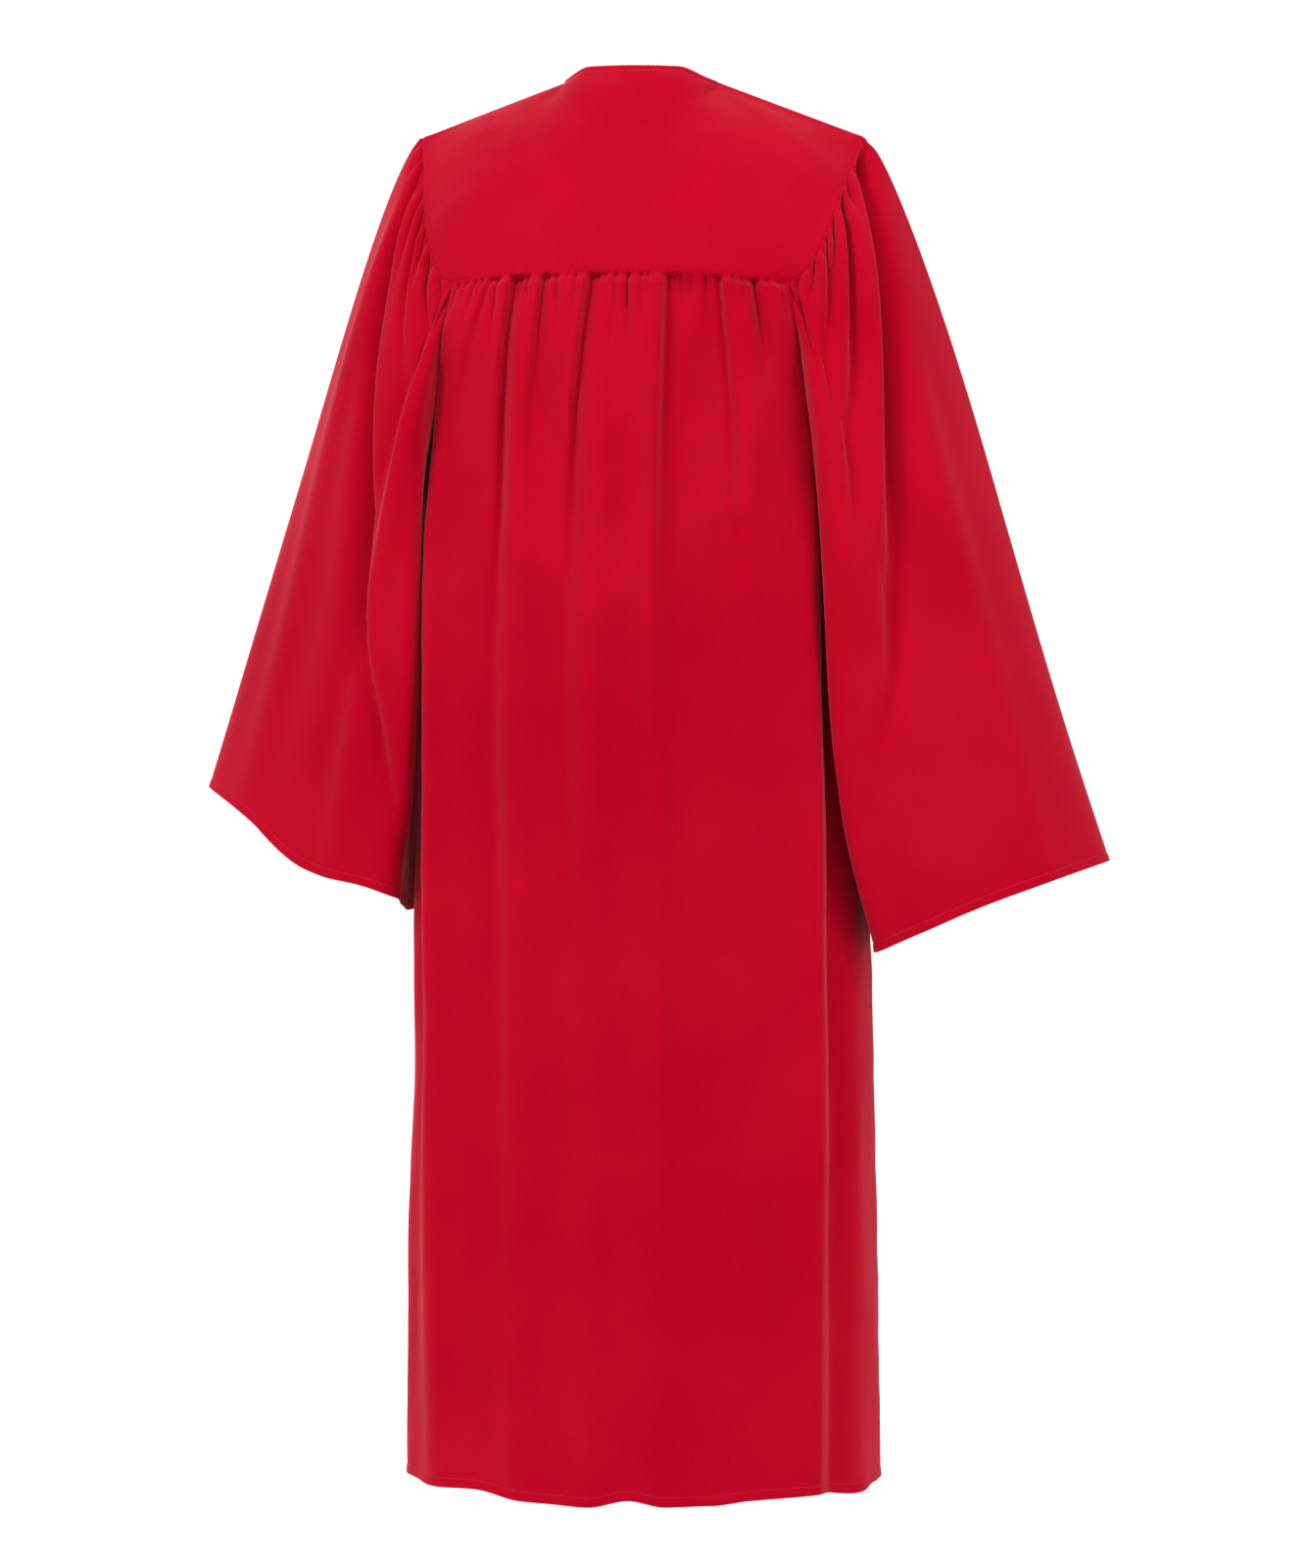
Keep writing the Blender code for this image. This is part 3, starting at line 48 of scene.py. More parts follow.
# Sizes of the cut.
NECK_HALF = 0.075         # neck end of a shoulder seam, from the middle
SHOULDER_HALF = 0.2175    # sleeve end of a shoulder seam, from the middle
SHOULDER_FALL = 0.055     # how far a shoulder seam falls on its way out
NAPE_BACK = 0.045         # nape of the neck behind the shoulder line
NAPE_RISE = 0.0095        # nape of the neck above the shoulder line
V_DROP = 0.115            # point of the front neck below the shoulder line
UNDERARM = 0.366          # foot of the armhole below the shoulder line
HEM = 1.357               # hem below the shoulder line
YOKE_CORNER_BACK = 0.164  # half width of the back yoke's seam
YOKE_DROP_BACK = 0.2077   # ends of the back yoke's seam
YOKE_LIFT_BACK = 0.0084   # the middle of that seam stands higher
YOKE_CORNER_FRONT = 0.170
YOKE_DROP_FRONT = 0.152
YOKE_LIFT_FRONT = -0.013  # the middle of the front seam lies lower
OPENING_HALF = 0.0065     # each front edge from the middle, along the zip
LEAN = 0.0275             # the left shoulder stands a little higher than the right
LEAN_LEFT = 0.0125        # and the left side takes more of that lean
SWAY = 0.003              # the lower gown hangs a little to the gown's right

# Sections of the body, one row for each height.
RING = (
    # drop, half width, back depth, front depth, squareness
    (0.1000, 0.2000, 0.118, 0.118, 3.2),
    (0.2077, 0.2024, 0.135, 0.127, 3.2),
    (0.2500, 0.2080, 0.142, 0.131, 3.2),
    (0.3100, 0.1950, 0.147, 0.135, 3.2),
    (0.3660, 0.1960, 0.150, 0.138, 3.2),
    (0.4500, 0.2030, 0.152, 0.140, 3.2),
    (0.6000, 0.2110, 0.154, 0.143, 3.1),
    (0.8400, 0.2205, 0.158, 0.148, 2.9),
    (1.1000, 0.2260, 0.166, 0.156, 2.7),
    (1.3800, 0.2300, 0.176, 0.166, 2.5),
)

# How far the middle of each yoke's lengthwise curve stands out from a straight line.
BULGE_BACK = (
    # place across, backward, upward
    (0.00, 0.042, 0.017),
    (0.20, 0.043, 0.022),
    (0.42, 0.040, 0.042),
    (0.60, 0.034, 0.054),
    (0.75, 0.028, 0.052),
    (0.90, 0.018, 0.032),
    (1.00, 0.010, 0.013),
)
BULGE_FRONT = (
    # place across, backward, upward
    (0.00, 0.000, 0.000),
    (0.20, -0.012, 0.015),
    (0.434, -0.031, 0.046),
    (0.70, -0.026, 0.050),
    (0.90, -0.014, 0.030),
    (1.00, -0.009, 0.0185),
)
# Side edge of the back yoke: how far it has drawn in on its way down.
DRAW_IN = (
    # place down, share of the draw
    (0.00, 0.00),
    (0.28, 0.15),
    (0.52, 0.288),
    (0.72, 0.434),
    (0.88, 0.62),
    (0.96, 0.80),
    (1.00, 1.00),
)

HEM_WAVE = (
    # place along the hem, rise of the hem
    (-0.310, 0.0030),
    (-0.262, 0.0000),
    (-0.205, 0.0060),
    (-0.165, 0.0050),
    (-0.130, 0.0040),
    (-0.095, -0.0010),
    (-0.055, -0.0020),
    (-0.020, 0.0030),
    (0.020, -0.0040),
    (0.085, -0.0010),
    (0.140, 0.0060),
    (0.190, 0.0040),
    (0.250, 0.0060),
    (0.310, 0.0020),
)

# Each sleeve as a tube: what leaves the armhole and where it arrives at the cuff.
SLEEVE_RIGHT = (
    # around, leave out, back, up, cuff out, back, up, arrive out, back, up
    (0.000, 0.142, 0.000, -0.128, 0.447, -0.035, -0.759, 0.225, -0.030, -0.720),
    (0.125, 0.165, 0.075, -0.130, 0.400, 0.045, -0.777, 0.190, -0.010, -0.650),
    (0.250, 0.120, 0.100, -0.160, 0.325, 0.082, -0.806, 0.140, -0.040, -0.600),
    (0.375, 0.090, 0.150, -0.330, 0.252, 0.080, -0.838, 0.220, -0.100, -0.480),
    (0.440, 0.150, 0.090, -0.300, 0.237, 0.052, -0.844, 0.050, -0.050, -0.480),
    (0.500, 0.190, 0.000, -0.280, 0.237, 0.000, -0.843, 0.010, 0.000, -0.470),
    (0.580, 0.180, -0.060, -0.280, 0.242, -0.055, -0.835, 0.040, 0.000, -0.470),
    (0.660, 0.110, -0.080, -0.300, 0.276, -0.102, -0.815, 0.100, 0.000, -0.520),
    (0.750, 0.120, -0.060, -0.200, 0.337, -0.126, -0.790, 0.150, -0.030, -0.620),
    (0.870, 0.165, -0.060, -0.135, 0.412, -0.102, -0.768, 0.190, -0.030, -0.690),
)
SLEEVE_LEFT = (
    # around, leave out, back, up, cuff out, back, up, arrive out, back, up
    (0.000, 0.134, 0.000, -0.128, 0.446, -0.035, -0.687, 0.233, -0.030, -0.650),
    (0.125, 0.155, 0.070, -0.130, 0.389, 0.030, -0.716, 0.190, -0.010, -0.580),
    (0.250, 0.120, 0.090, -0.160, 0.327, 0.066, -0.764, 0.140, -0.040, -0.560),
    (0.375, 0.110, 0.130, -0.320, 0.240, 0.083, -0.787, 0.140, -0.080, -0.460),
    (0.440, 0.150, 0.090, -0.290, 0.231, 0.056, -0.801, 0.050, -0.050, -0.440),
    (0.500, 0.190, 0.000, -0.280, 0.237, 0.000, -0.808, 0.010, 0.000, -0.440),
    (0.580, 0.180, -0.060, -0.280, 0.242, -0.055, -0.800, 0.040, 0.000, -0.440),
    (0.660, 0.110, -0.080, -0.300, 0.276, -0.102, -0.775, 0.100, 0.000, -0.480),
    (0.750, 0.120, -0.060, -0.200, 0.337, -0.126, -0.740, 0.150, -0.030, -0.570),
    (0.870, 0.165, -0.060, -0.135, 0.412, -0.102, -0.702, 0.190, -0.030, -0.630),
)
# Zip of the centre front.
TAPE_INNER = 0.0017
TAPE_OUTER = 0.0135
TAPE_BEND = 0.0050        # beyond this the tape's edge follows the cloth in front of it
TAPE_WALL = 0.0010
TAPE_GAP = 0.0005
ZIP_TOP = 0.1175
ZIP_FOOT = 1.325
CHAIN_HALF = 0.0028
CHAIN_WALL = 0.0015
SLIDER_TOP = 0.1185
SLIDER_HEIGHT = 0.0095
TAB_LENGTH = 0.026
TAB_TILT = 7.0            # degrees the tab leans out to rest on the chain
AXIS_OFF_PLATE = 0.0014   # hinge axis of the pull tab in front of the slider's plate



def column(table, k):
    return np.array([row[k] for row in table], float)


def curve(xs, ys, x):
    """Smooth curve through a table's points that never overshoots them."""
    xs = np.asarray(xs, float)
    ys = np.asarray(ys, float)
    h = np.diff(xs)
    slope = np.diff(ys) / h
    m = np.zeros(len(xs))
    m[0] = slope[0]
    m[-1] = slope[-1]
    for i in range(1, len(xs) - 1):
        if slope[i - 1] * slope[i] > 0:
            w1 = 2 * h[i] + h[i - 1]
            w2 = h[i] + 2 * h[i - 1]
            m[i] = (w1 + w2) / (w1 / slope[i - 1] + w2 / slope[i])
    x = np.clip(np.asarray(x, float), xs[0], xs[-1])
    i = np.clip(np.searchsorted(xs, x, side="right") - 1, 0, len(xs) - 2)
    t = (x - xs[i]) / h[i]
    return ((1 + 2 * t) * (1 - t) ** 2 * ys[i] + t * (1 - t) ** 2 * h[i] * m[i]
            + t * t * (3 - 2 * t) * ys[i + 1] + t * t * (t - 1) * h[i] * m[i + 1])


def loop_curve(xs, ys, x):
    """Smooth closed curve through a table's points; places run from 0 to 1 and round again."""
    n = len(xs)
    xe = np.concatenate([[xs[-1] - 1.0], xs, [xs[0] + 1.0, xs[1] + 1.0]])
    ye = np.concatenate([ys[-1:], ys, ys[:2]])
    m = (ye[2:] - ye[:-2]) / (xe[2:] - xe[:-2])
    x = np.mod(np.asarray(x, float), 1.0)
    i = np.clip(np.searchsorted(xs, x, side="right") - 1, 0, n - 1)
    h = xe[i + 2] - xe[i + 1]
    t = (x - xe[i + 1]) / h
    return ((1 + 2 * t) * (1 - t) ** 2 * ye[i + 1] + t * (1 - t) ** 2 * h * m[i]
            + t * t * (3 - 2 * t) * ye[i + 2] + t * t * (t - 1) * h * m[i + 1])


def smooth(t):
    t = np.clip(t, 0.0, 1.0)
    return t * t * (3 - 2 * t)


def unit(v):
    return v / np.maximum(np.linalg.norm(v, axis=-1, keepdims=True), 1e-12)


def stack(x, y, z):
    x, y, z = np.broadcast_arrays(np.asarray(x, float), y, z)
    return np.stack([x, y, z], axis=-1)


# The body: rings that hang from the yokes. side is +1 for the back and -1 for the front.

def ring(side, drop, phi):
    """Point of the body at a height; the angle runs from the +X side over the middle."""
    key = column(RING, 0)
    a = curve(key, column(RING, 1), drop)
    b = curve(key, column(RING, 2 if side > 0 else 3), drop)
    n = curve(key, column(RING, 4), drop)
    c = np.cos(phi)
    s = np.sin(phi)
    r = ((np.abs(c) / a) ** n + (np.abs(s) / b) ** n) ** (-1.0 / n)
    return stack(r * c, side * r * s, -np.asarray(drop, float))


def corner(side):
    """Drop and angle at which the armhole meets the yoke's seam."""
    drop = YOKE_DROP_BACK if side > 0 else YOKE_DROP_FRONT
    half = YOKE_CORNER_BACK if side > 0 else YOKE_CORNER_FRONT
    phis = np.linspace(0.2, 1.2, 2001)
    xs = ring(side, drop, phis)[:, 0]
    return drop, float(np.interp(-half, -xs, phis))


CORNERS = {1: corner(1), -1: corner(-1)}


def edge_phi(side, drop):
    """Angle at which the armhole, and below it the side seam, ends a ring."""
    top, phi = CORNERS[side]
    t = np.clip((drop - top) / (UNDERARM - top), 0.0, 1.0)
    return phi * np.sqrt(np.maximum(1 - t ** 2.2, 0.0))


ARCS = {}


def arc(side, drop):
    """Angles and lengths along a ring from the middle out to its end."""
    key = (side, round(float(drop), 6))
    if key not in ARCS:
        phis = np.linspace(np.pi / 2, float(edge_phi(side, drop)), 400)
        p = ring(side, drop, phis)
        steps = np.linalg.norm(np.diff(p, axis=0), axis=1)
        ARCS[key] = (phis, np.concatenate([[0.0], np.cumsum(steps)]))
    return ARCS[key]


def half_length(side, drop):
    return float(arc(side, drop)[1][-1])


def seam_fall(side, drop, share):
    """Rise of a row over its level, because it follows the yoke's seam above it."""
    top = CORNERS[side][0]
    lift = YOKE_LIFT_BACK if side > 0 else YOKE_LIFT_FRONT
    return lift * (1 - np.abs(share) ** 2.5) * (1 - smooth((drop - top) / 0.16))


def hem_rise(side, drop, s):
    wave = curve(column(HEM_WAVE, 0), column(HEM_WAVE, 1), s * side)
    return wave * smooth((drop - (HEM - 0.16)) / 0.16)


def body_base(side, drop, s):
    """Unfolded body: points, outward normals and the two directions of the cloth."""
    phis, lengths = arc(side, drop)
    s = np.asarray(s, float)
    phi = np.interp(np.abs(s), lengths, phis)
    sign = np.where(s < 0, -1.0, 1.0)
    rise = seam_fall(side, drop, s / lengths[-1]) + hem_rise(side, drop, s)
    level = np.maximum(drop - rise, 0.101)
    p = ring(side, level, phi)
    e = 1e-4
    along = ring(side, level, phi - e) - ring(side, level, phi + e)
    down = ring(side, level + e, phi) - ring(side, level - e, phi)
    normal = unit(np.cross(along, down) * side)
    for v in (p, normal):
        v[..., 0] *= sign
    down = unit(np.array([0.0, 0.0, -1.0]) + normal * normal[..., 2:3])
    across = unit(np.cross(normal, down)) * -side
    return p, normal, across, down


# The yokes: u runs across and v down from the shoulder or neck to the seam.

def yoke_seam(side, u):
    """Point of a yoke's lower seam; u is the share of the way out from the middle."""
    u = np.asarray(u, float)
    half = YOKE_CORNER_BACK if side > 0 else YOKE_CORNER_FRONT
    if side > 0:
        x = half * u
        share = u
    else:
        x = OPENING_HALF + (half - OPENING_HALF) * u
        share = x / half
    top = CORNERS[side][0]
    lift = YOKE_LIFT_BACK if side > 0 else YOKE_LIFT_FRONT
    drop = top - lift * (1 - np.abs(share) ** 2.5)
    key = column(RING, 0)
    a = curve(key, column(RING, 1), drop)
    b = curve(key, column(RING, 2 if side > 0 else 3), drop)
    n = curve(key, column(RING, 4), drop)
    y = b * (1 - np.minimum(np.abs(x) / a, 1.0) ** n) ** (1 / n)
    return stack(x, side * y, -drop)


NECK_SHARE_BACK = 0.42
NECK_SHARE_FRONT = 0.434


def yoke_top(side, u):
    """Point of a yoke's upper edge: the neck first, then the shoulder seam."""
    u = np.asarray(u, float)
    w = np.abs(u)
    if side > 0:
        share = NECK_SHARE_BACK
        turn = np.clip(w / share, 0, 1) * np.pi / 2
        neck = stack(NECK_HALF * np.sin(turn), NAPE_BACK * np.cos(turn),
                     NAPE_RISE * (1 - smooth((NECK_HALF * np.sin(turn) - 0.044) / 0.031)))
    else:
        share = NECK_SHARE_FRONT
        t = np.clip(w / share, 0, 1)
        front = curve(column(RING, 0), column(RING, 3), V_DROP)
        neck = stack(OPENING_HALF + (NECK_HALF - OPENING_HALF) * t,
                     -front * (1 - t) ** 0.6, -V_DROP * (1 - t))
    k = np.maximum((w - share) / (1 - share), 0)
    shoulder = stack(NECK_HALF + (SHOULDER_HALF - NECK_HALF) * k, 0.0 * k, -SHOULDER_FALL * k)
    p = np.where((w < share)[..., None], neck, shoulder)
    p[..., 0] *= np.where(u < 0, -1.0, 1.0)
    return p


TOP_PLACES = np.linspace(-1.5, 1.5, 6001)
TOP_SUMS = {}


def soft_top(side, u, v):
    """Upper edge averaged over more and more cloth on the way down, so its neck corner fades."""
    if side not in TOP_SUMS:
        p = yoke_top(side, TOP_PLACES)
        step = TOP_PLACES[1] - TOP_PLACES[0]
        TOP_SUMS[side] = np.concatenate([np.zeros((1, 3)), np.cumsum((p[1:] + p[:-1]) / 2 * step, axis=0)])
    u, v = np.broadcast_arrays(u, v)
    reach = 0.36 * smooth(v / 0.42)
    if side < 0:
        reach = np.minimum(reach, u)
    wide = np.maximum(reach, 1e-3)
    ends = [np.stack([np.interp(u + k * wide, TOP_PLACES, TOP_SUMS[side][:, j]) for j in range(3)], axis=-1)
            for k in (1, -1)]
    mean = (ends[0] - ends[1]) / (2 * wide)[..., None]
    return np.where((reach > 1e-3)[..., None], mean, yoke_top(side, u))


def yoke(side, u, v):
    u = np.asarray(u, float)
    v = np.asarray(v, float)
    top = soft_top(side, u, v)
    foot = yoke_seam(side, u)
    table = BULGE_BACK if side > 0 else BULGE_FRONT
    w = np.abs(u)
    key = column(table, 0)
    middle = (top + foot) / 2
    middle = middle + stack(0.0 * w, curve(key, column(table, 1), w), curve(key, column(table, 2), w))
    p = ((1 - v) ** 2)[..., None] * top + (2 * v * (1 - v))[..., None] * middle + (v ** 2)[..., None] * foot
    if side > 0:
        k = curve(column(DRAW_IN, 0), column(DRAW_IN, 1), v)
    else:
        k = v ** 0.9
    p[..., 0] = top[..., 0] + (foot[..., 0] - top[..., 0]) * k
    return p


def yoke_normal(side, u, v):
    e = 1e-4
    u = np.asarray(u, float)
    v = np.asarray(v, float)
    low = 0.0 if side < 0 else -1.0
    du = yoke(side, np.clip(u + e, low, 1), v) - yoke(side, np.clip(u - e, low, 1), v)
    dv = yoke(side, u, np.clip(v + e, 0, 1)) - yoke(side, u, np.clip(v - e, 0, 1))
    return unit(np.cross(du, dv)) * side


def settle(v):
    """The gown hangs slightly uneven: its left shoulder up and its hem to the right."""
    x = v[..., 0]
    z = v[..., 2]
    high = 1 - smooth((-z - 0.05) / 0.35)
    side = LEAN * x + LEAN_LEFT * (np.sqrt(x * x + 0.0016) - 0.04)
    return np.stack([x - SWAY * smooth((-z - 0.5) / 0.5), v[..., 1], z + side * high], axis=-1)


def front_y(drop):
    """Outer face of the cloth beside the zip."""
    drop = np.asarray(drop, float)
    level = YOKE_DROP_FRONT - YOKE_LIFT_FRONT
    on_ring = ring(-1, np.maximum(drop, 0.101), np.full_like(drop, np.pi / 2))[..., 1]
    top = float(curve(column(RING, 0), column(RING, 3), V_DROP))
    low = float(curve(column(RING, 0), column(RING, 3), level))
    line = -(top + (low - top) * (drop - V_DROP) / (level - V_DROP))
    return np.where(drop < level, line, on_ring)


def front_cloth(x, drop):
    """Depth of the cloth's outer face behind which the zip's tape lies."""
    level = YOKE_DROP_FRONT - YOKE_LIFT_FRONT
    x = abs(x)
    if x <= OPENING_HALF or drop >= level:
        return float(front_y(drop))
    v = np.linspace(0.0, 1.0, 60)
    u = np.full_like(v, (x - OPENING_HALF) / (YOKE_CORNER_FRONT - OPENING_HALF))
    p = yoke(-1, u, v)
    return float(np.interp(drop, -p[:, 2], p[:, 1])) + 0.0022 * float(smooth((level - drop) / 0.012))


# Gathers under the back yoke, from the gown's left to its right.
GATHERS_BACK = (
    # sideways, lean, half width at top, half width below, depth, start, reach, sharpness
    (0.1550, 0.30, 0.0030, 0.0060, 0.0030, 0.002, 0.045, 1.3),
    (0.1460, 0.22, 0.0028, 0.0050, 0.0026, 0.002, 0.030, 1.2),
    (0.1370, 0.18, 0.0030, 0.0060, 0.0036, 0.002, 0.050, 1.2),
    (0.1295, 0.20, 0.0026, 0.0050, 0.0028, 0.002, 0.034, 1.2),
    (0.1210, 0.32, 0.0040, 0.0120, 0.0060, 0.003, 0.150, 1.4, -0.70),
    (0.1145, 0.08, 0.0032, 0.0075, 0.0042, 0.002, 0.085, 1.2),
    (0.0990, 0.10, 0.0060, 0.0230, 0.0138, 0.003, 0.440, 1.4, -0.88),
    (0.0918, 0.04, 0.0026, 0.0050, 0.0030, 0.002, 0.036, 1.2),
    (0.0843, 0.02, 0.0026, 0.0055, 0.0030, 0.002, 0.046, 1.2),
    (0.0690, 0.08, 0.0046, 0.0150, 0.0095, 0.003, 0.230, 1.4, -0.80),
    (0.0640, -0.05, 0.0022, 0.0040, 0.0020, 0.002, 0.022, 1.2),
    (0.0561, -0.06, 0.0030, 0.0070, 0.0040, 0.003, 0.070, 1.3),
    (0.0460, -0.04, 0.0024, 0.0045, 0.0024, 0.002, 0.028, 1.2),
    (0.0372, 0.02, 0.0028, 0.0060, 0.0034, 0.002, 0.056, 1.2),
    (0.0150, 0.02, 0.0024, 0.0045, 0.0026, 0.002, 0.034, 1.2),
    (0.0225, 0.11, 0.0054, 0.0200, 0.0126, 0.003, 0.400, 1.4, -0.80),
    (0.0080, 0.02, 0.0024, 0.0045, 0.0024, 0.002, 0.030, 1.2),
    (-0.0013, 0.00, 0.0030, 0.0070, 0.0036, 0.002, 0.076, 1.2),
    (-0.0130, -0.03, 0.0030, 0.0070, 0.0060, 0.002, 0.085, 1.2),
    (-0.0258, -0.04, 0.0030, 0.0075, 0.0038, 0.002, 0.080, 1.2),
    (-0.0334, -0.02, 0.0024, 0.0050, 0.0028, 0.002, 0.046, 1.2),
    (-0.0510, 0.02, 0.0052, 0.0190, 0.0110, 0.003, 0.520, 1.4, -0.88),
    (-0.0775, 0.01, 0.0255, 0.0290, 0.0095, 0.012, 0.620, 4.0),
    (-0.0570, 0.00, 0.0022, 0.0040, 0.0020, 0.002, 0.022, 1.2),
    (-0.0635, -0.02, 0.0026, 0.0055, 0.0030, 0.002, 0.042, 1.2),
    (-0.0729, -0.03, 0.0026, 0.0055, 0.0030, 0.002, 0.044, 1.2),
    (-0.0870, -0.07, 0.0030, 0.0070, 0.0038, 0.002, 0.066, 1.2),
    (-0.1000, -0.10, 0.0050, 0.0150, 0.0095, 0.003, 0.400, 1.4, 0.45),
    (-0.1124, -0.08, 0.0026, 0.0055, 0.0032, 0.002, 0.046, 1.2),
    (-0.1209, -0.07, 0.0028, 0.0060, 0.0034, 0.002, 0.056, 1.2),
    (-0.1322, -0.16, 0.0048, 0.0130, 0.0100, 0.004, 0.130, 1.4, 0.20),
    (-0.1444, 0.08, 0.0030, 0.0060, 0.0036, 0.002, 0.056, 1.2),
    (-0.1530, -0.20, 0.0030, 0.0065, 0.0036, 0.002, 0.060, 1.2),
    (-0.1595, -0.24, 0.0030, 0.0080, 0.0044, 0.002, 0.100, 1.3),
)
# Soft folds of the hanging back.
SOFT_BACK = (
    # place, lean, half width at top, half width below, depth, start, reach, sharpness
    (0.130, -0.010, 0.022, 0.036, 0.0085, 0.20, 1.60, 2.0, 0.3),
    (0.058, -0.010, 0.024, 0.034, 0.0085, 0.20, 1.80, 2.0, 0.3),
    (-0.012, 0.010, 0.018, 0.026, 0.0060, 0.25, 1.90, 2.0),
    (-0.080, 0.000, 0.027, 0.032, 0.0090, 0.30, 1.90, 2.8),
    (0.098, -0.012, 0.018, 0.026, -0.0060, 0.20, 1.90, 2.0),
    (0.020, 0.000, 0.020, 0.028, -0.0070, 0.20, 1.90, 2.0),
    (-0.042, 0.000, 0.015, 0.022, -0.0050, 0.20, 1.90, 2.0),
    (-0.128, 0.000, 0.018, 0.026, -0.0060, 0.20, 1.90, 2.0),
    (0.188, 0.004, 0.013, 0.022, -0.0125, 0.22, 1.40, 2.0),
    (-0.196, -0.004, 0.012, 0.018, -0.0085, 0.30, 1.90, 1.8, 0.5),
    (0.234, 0.000, 0.018, 0.026, 0.0130, 0.16, 1.40, 2.0),
    (-0.232, 0.000, 0.018, 0.024, 0.0190, 0.14, 1.90, 2.0, -0.4),
)
GATHERS_FRONT = (
    # sideways, lean, half width at top, half width below, depth, start, reach, sharpness
    (0.164, 0.10, 0.0030, 0.0060, 0.0030, 0.002, 0.040, 1.2),
    (0.156, 0.03, 0.0030, 0.0065, 0.0036, 0.002, 0.060, 1.2),
    (0.142, 0.06, 0.0036, 0.0130, 0.0064, 0.002, 0.240, 1.3),
    (0.134, 0.05, 0.0024, 0.0045, 0.0024, 0.002, 0.030, 1.2),
    (0.127, 0.05, 0.0030, 0.0070, 0.0038, 0.002, 0.080, 1.2),
    (0.119, 0.04, 0.0024, 0.0045, 0.0024, 0.002, 0.026, 1.2),
    (0.112, 0.05, 0.0042, 0.0180, 0.0080, 0.002, 0.440, 1.3),
    (0.103, 0.03, 0.0024, 0.0045, 0.0024, 0.002, 0.034, 1.2),
    (0.096, 0.03, 0.0030, 0.0070, 0.0036, 0.002, 0.070, 1.2),
    (0.088, 0.03, 0.0024, 0.0045, 0.0024, 0.002, 0.028, 1.2),
    (0.080, 0.03, 0.0040, 0.0150, 0.0070, 0.002, 0.320, 1.3),
    (0.072, 0.02, 0.0024, 0.0045, 0.0024, 0.002, 0.030, 1.2),
    (0.064, 0.02, 0.0030, 0.0070, 0.0036, 0.002, 0.080, 1.2),
    (0.057, 0.02, 0.0024, 0.0045, 0.0022, 0.002, 0.026, 1.2),
    (0.050, 0.02, 0.0034, 0.0120, 0.0052, 0.002, 0.240, 1.3),
    (0.040, 0.01, 0.0026, 0.0055, 0.0026, 0.002, 0.050, 1.2),
)
SOFT_FRONT = (
    # place, lean, half width at top, half width below, depth, start, reach, sharpness
    (0.140, 0.000, 0.030, 0.036, 0.0065, 0.30, 1.90, 2.0),
    (0.074, 0.000, 0.024, 0.030, 0.0060, 0.30, 1.90, 2.0),
    (0.107, 0.000, 0.022, 0.028, -0.0050, 0.30, 1.90, 2.0),
    (0.186, 0.004, 0.016, 0.026, -0.0060, 0.30, 1.20, 2.0),
    (0.232, 0.000, 0.018, 0.026, 0.0110, 0.18, 1.20, 2.0),
)
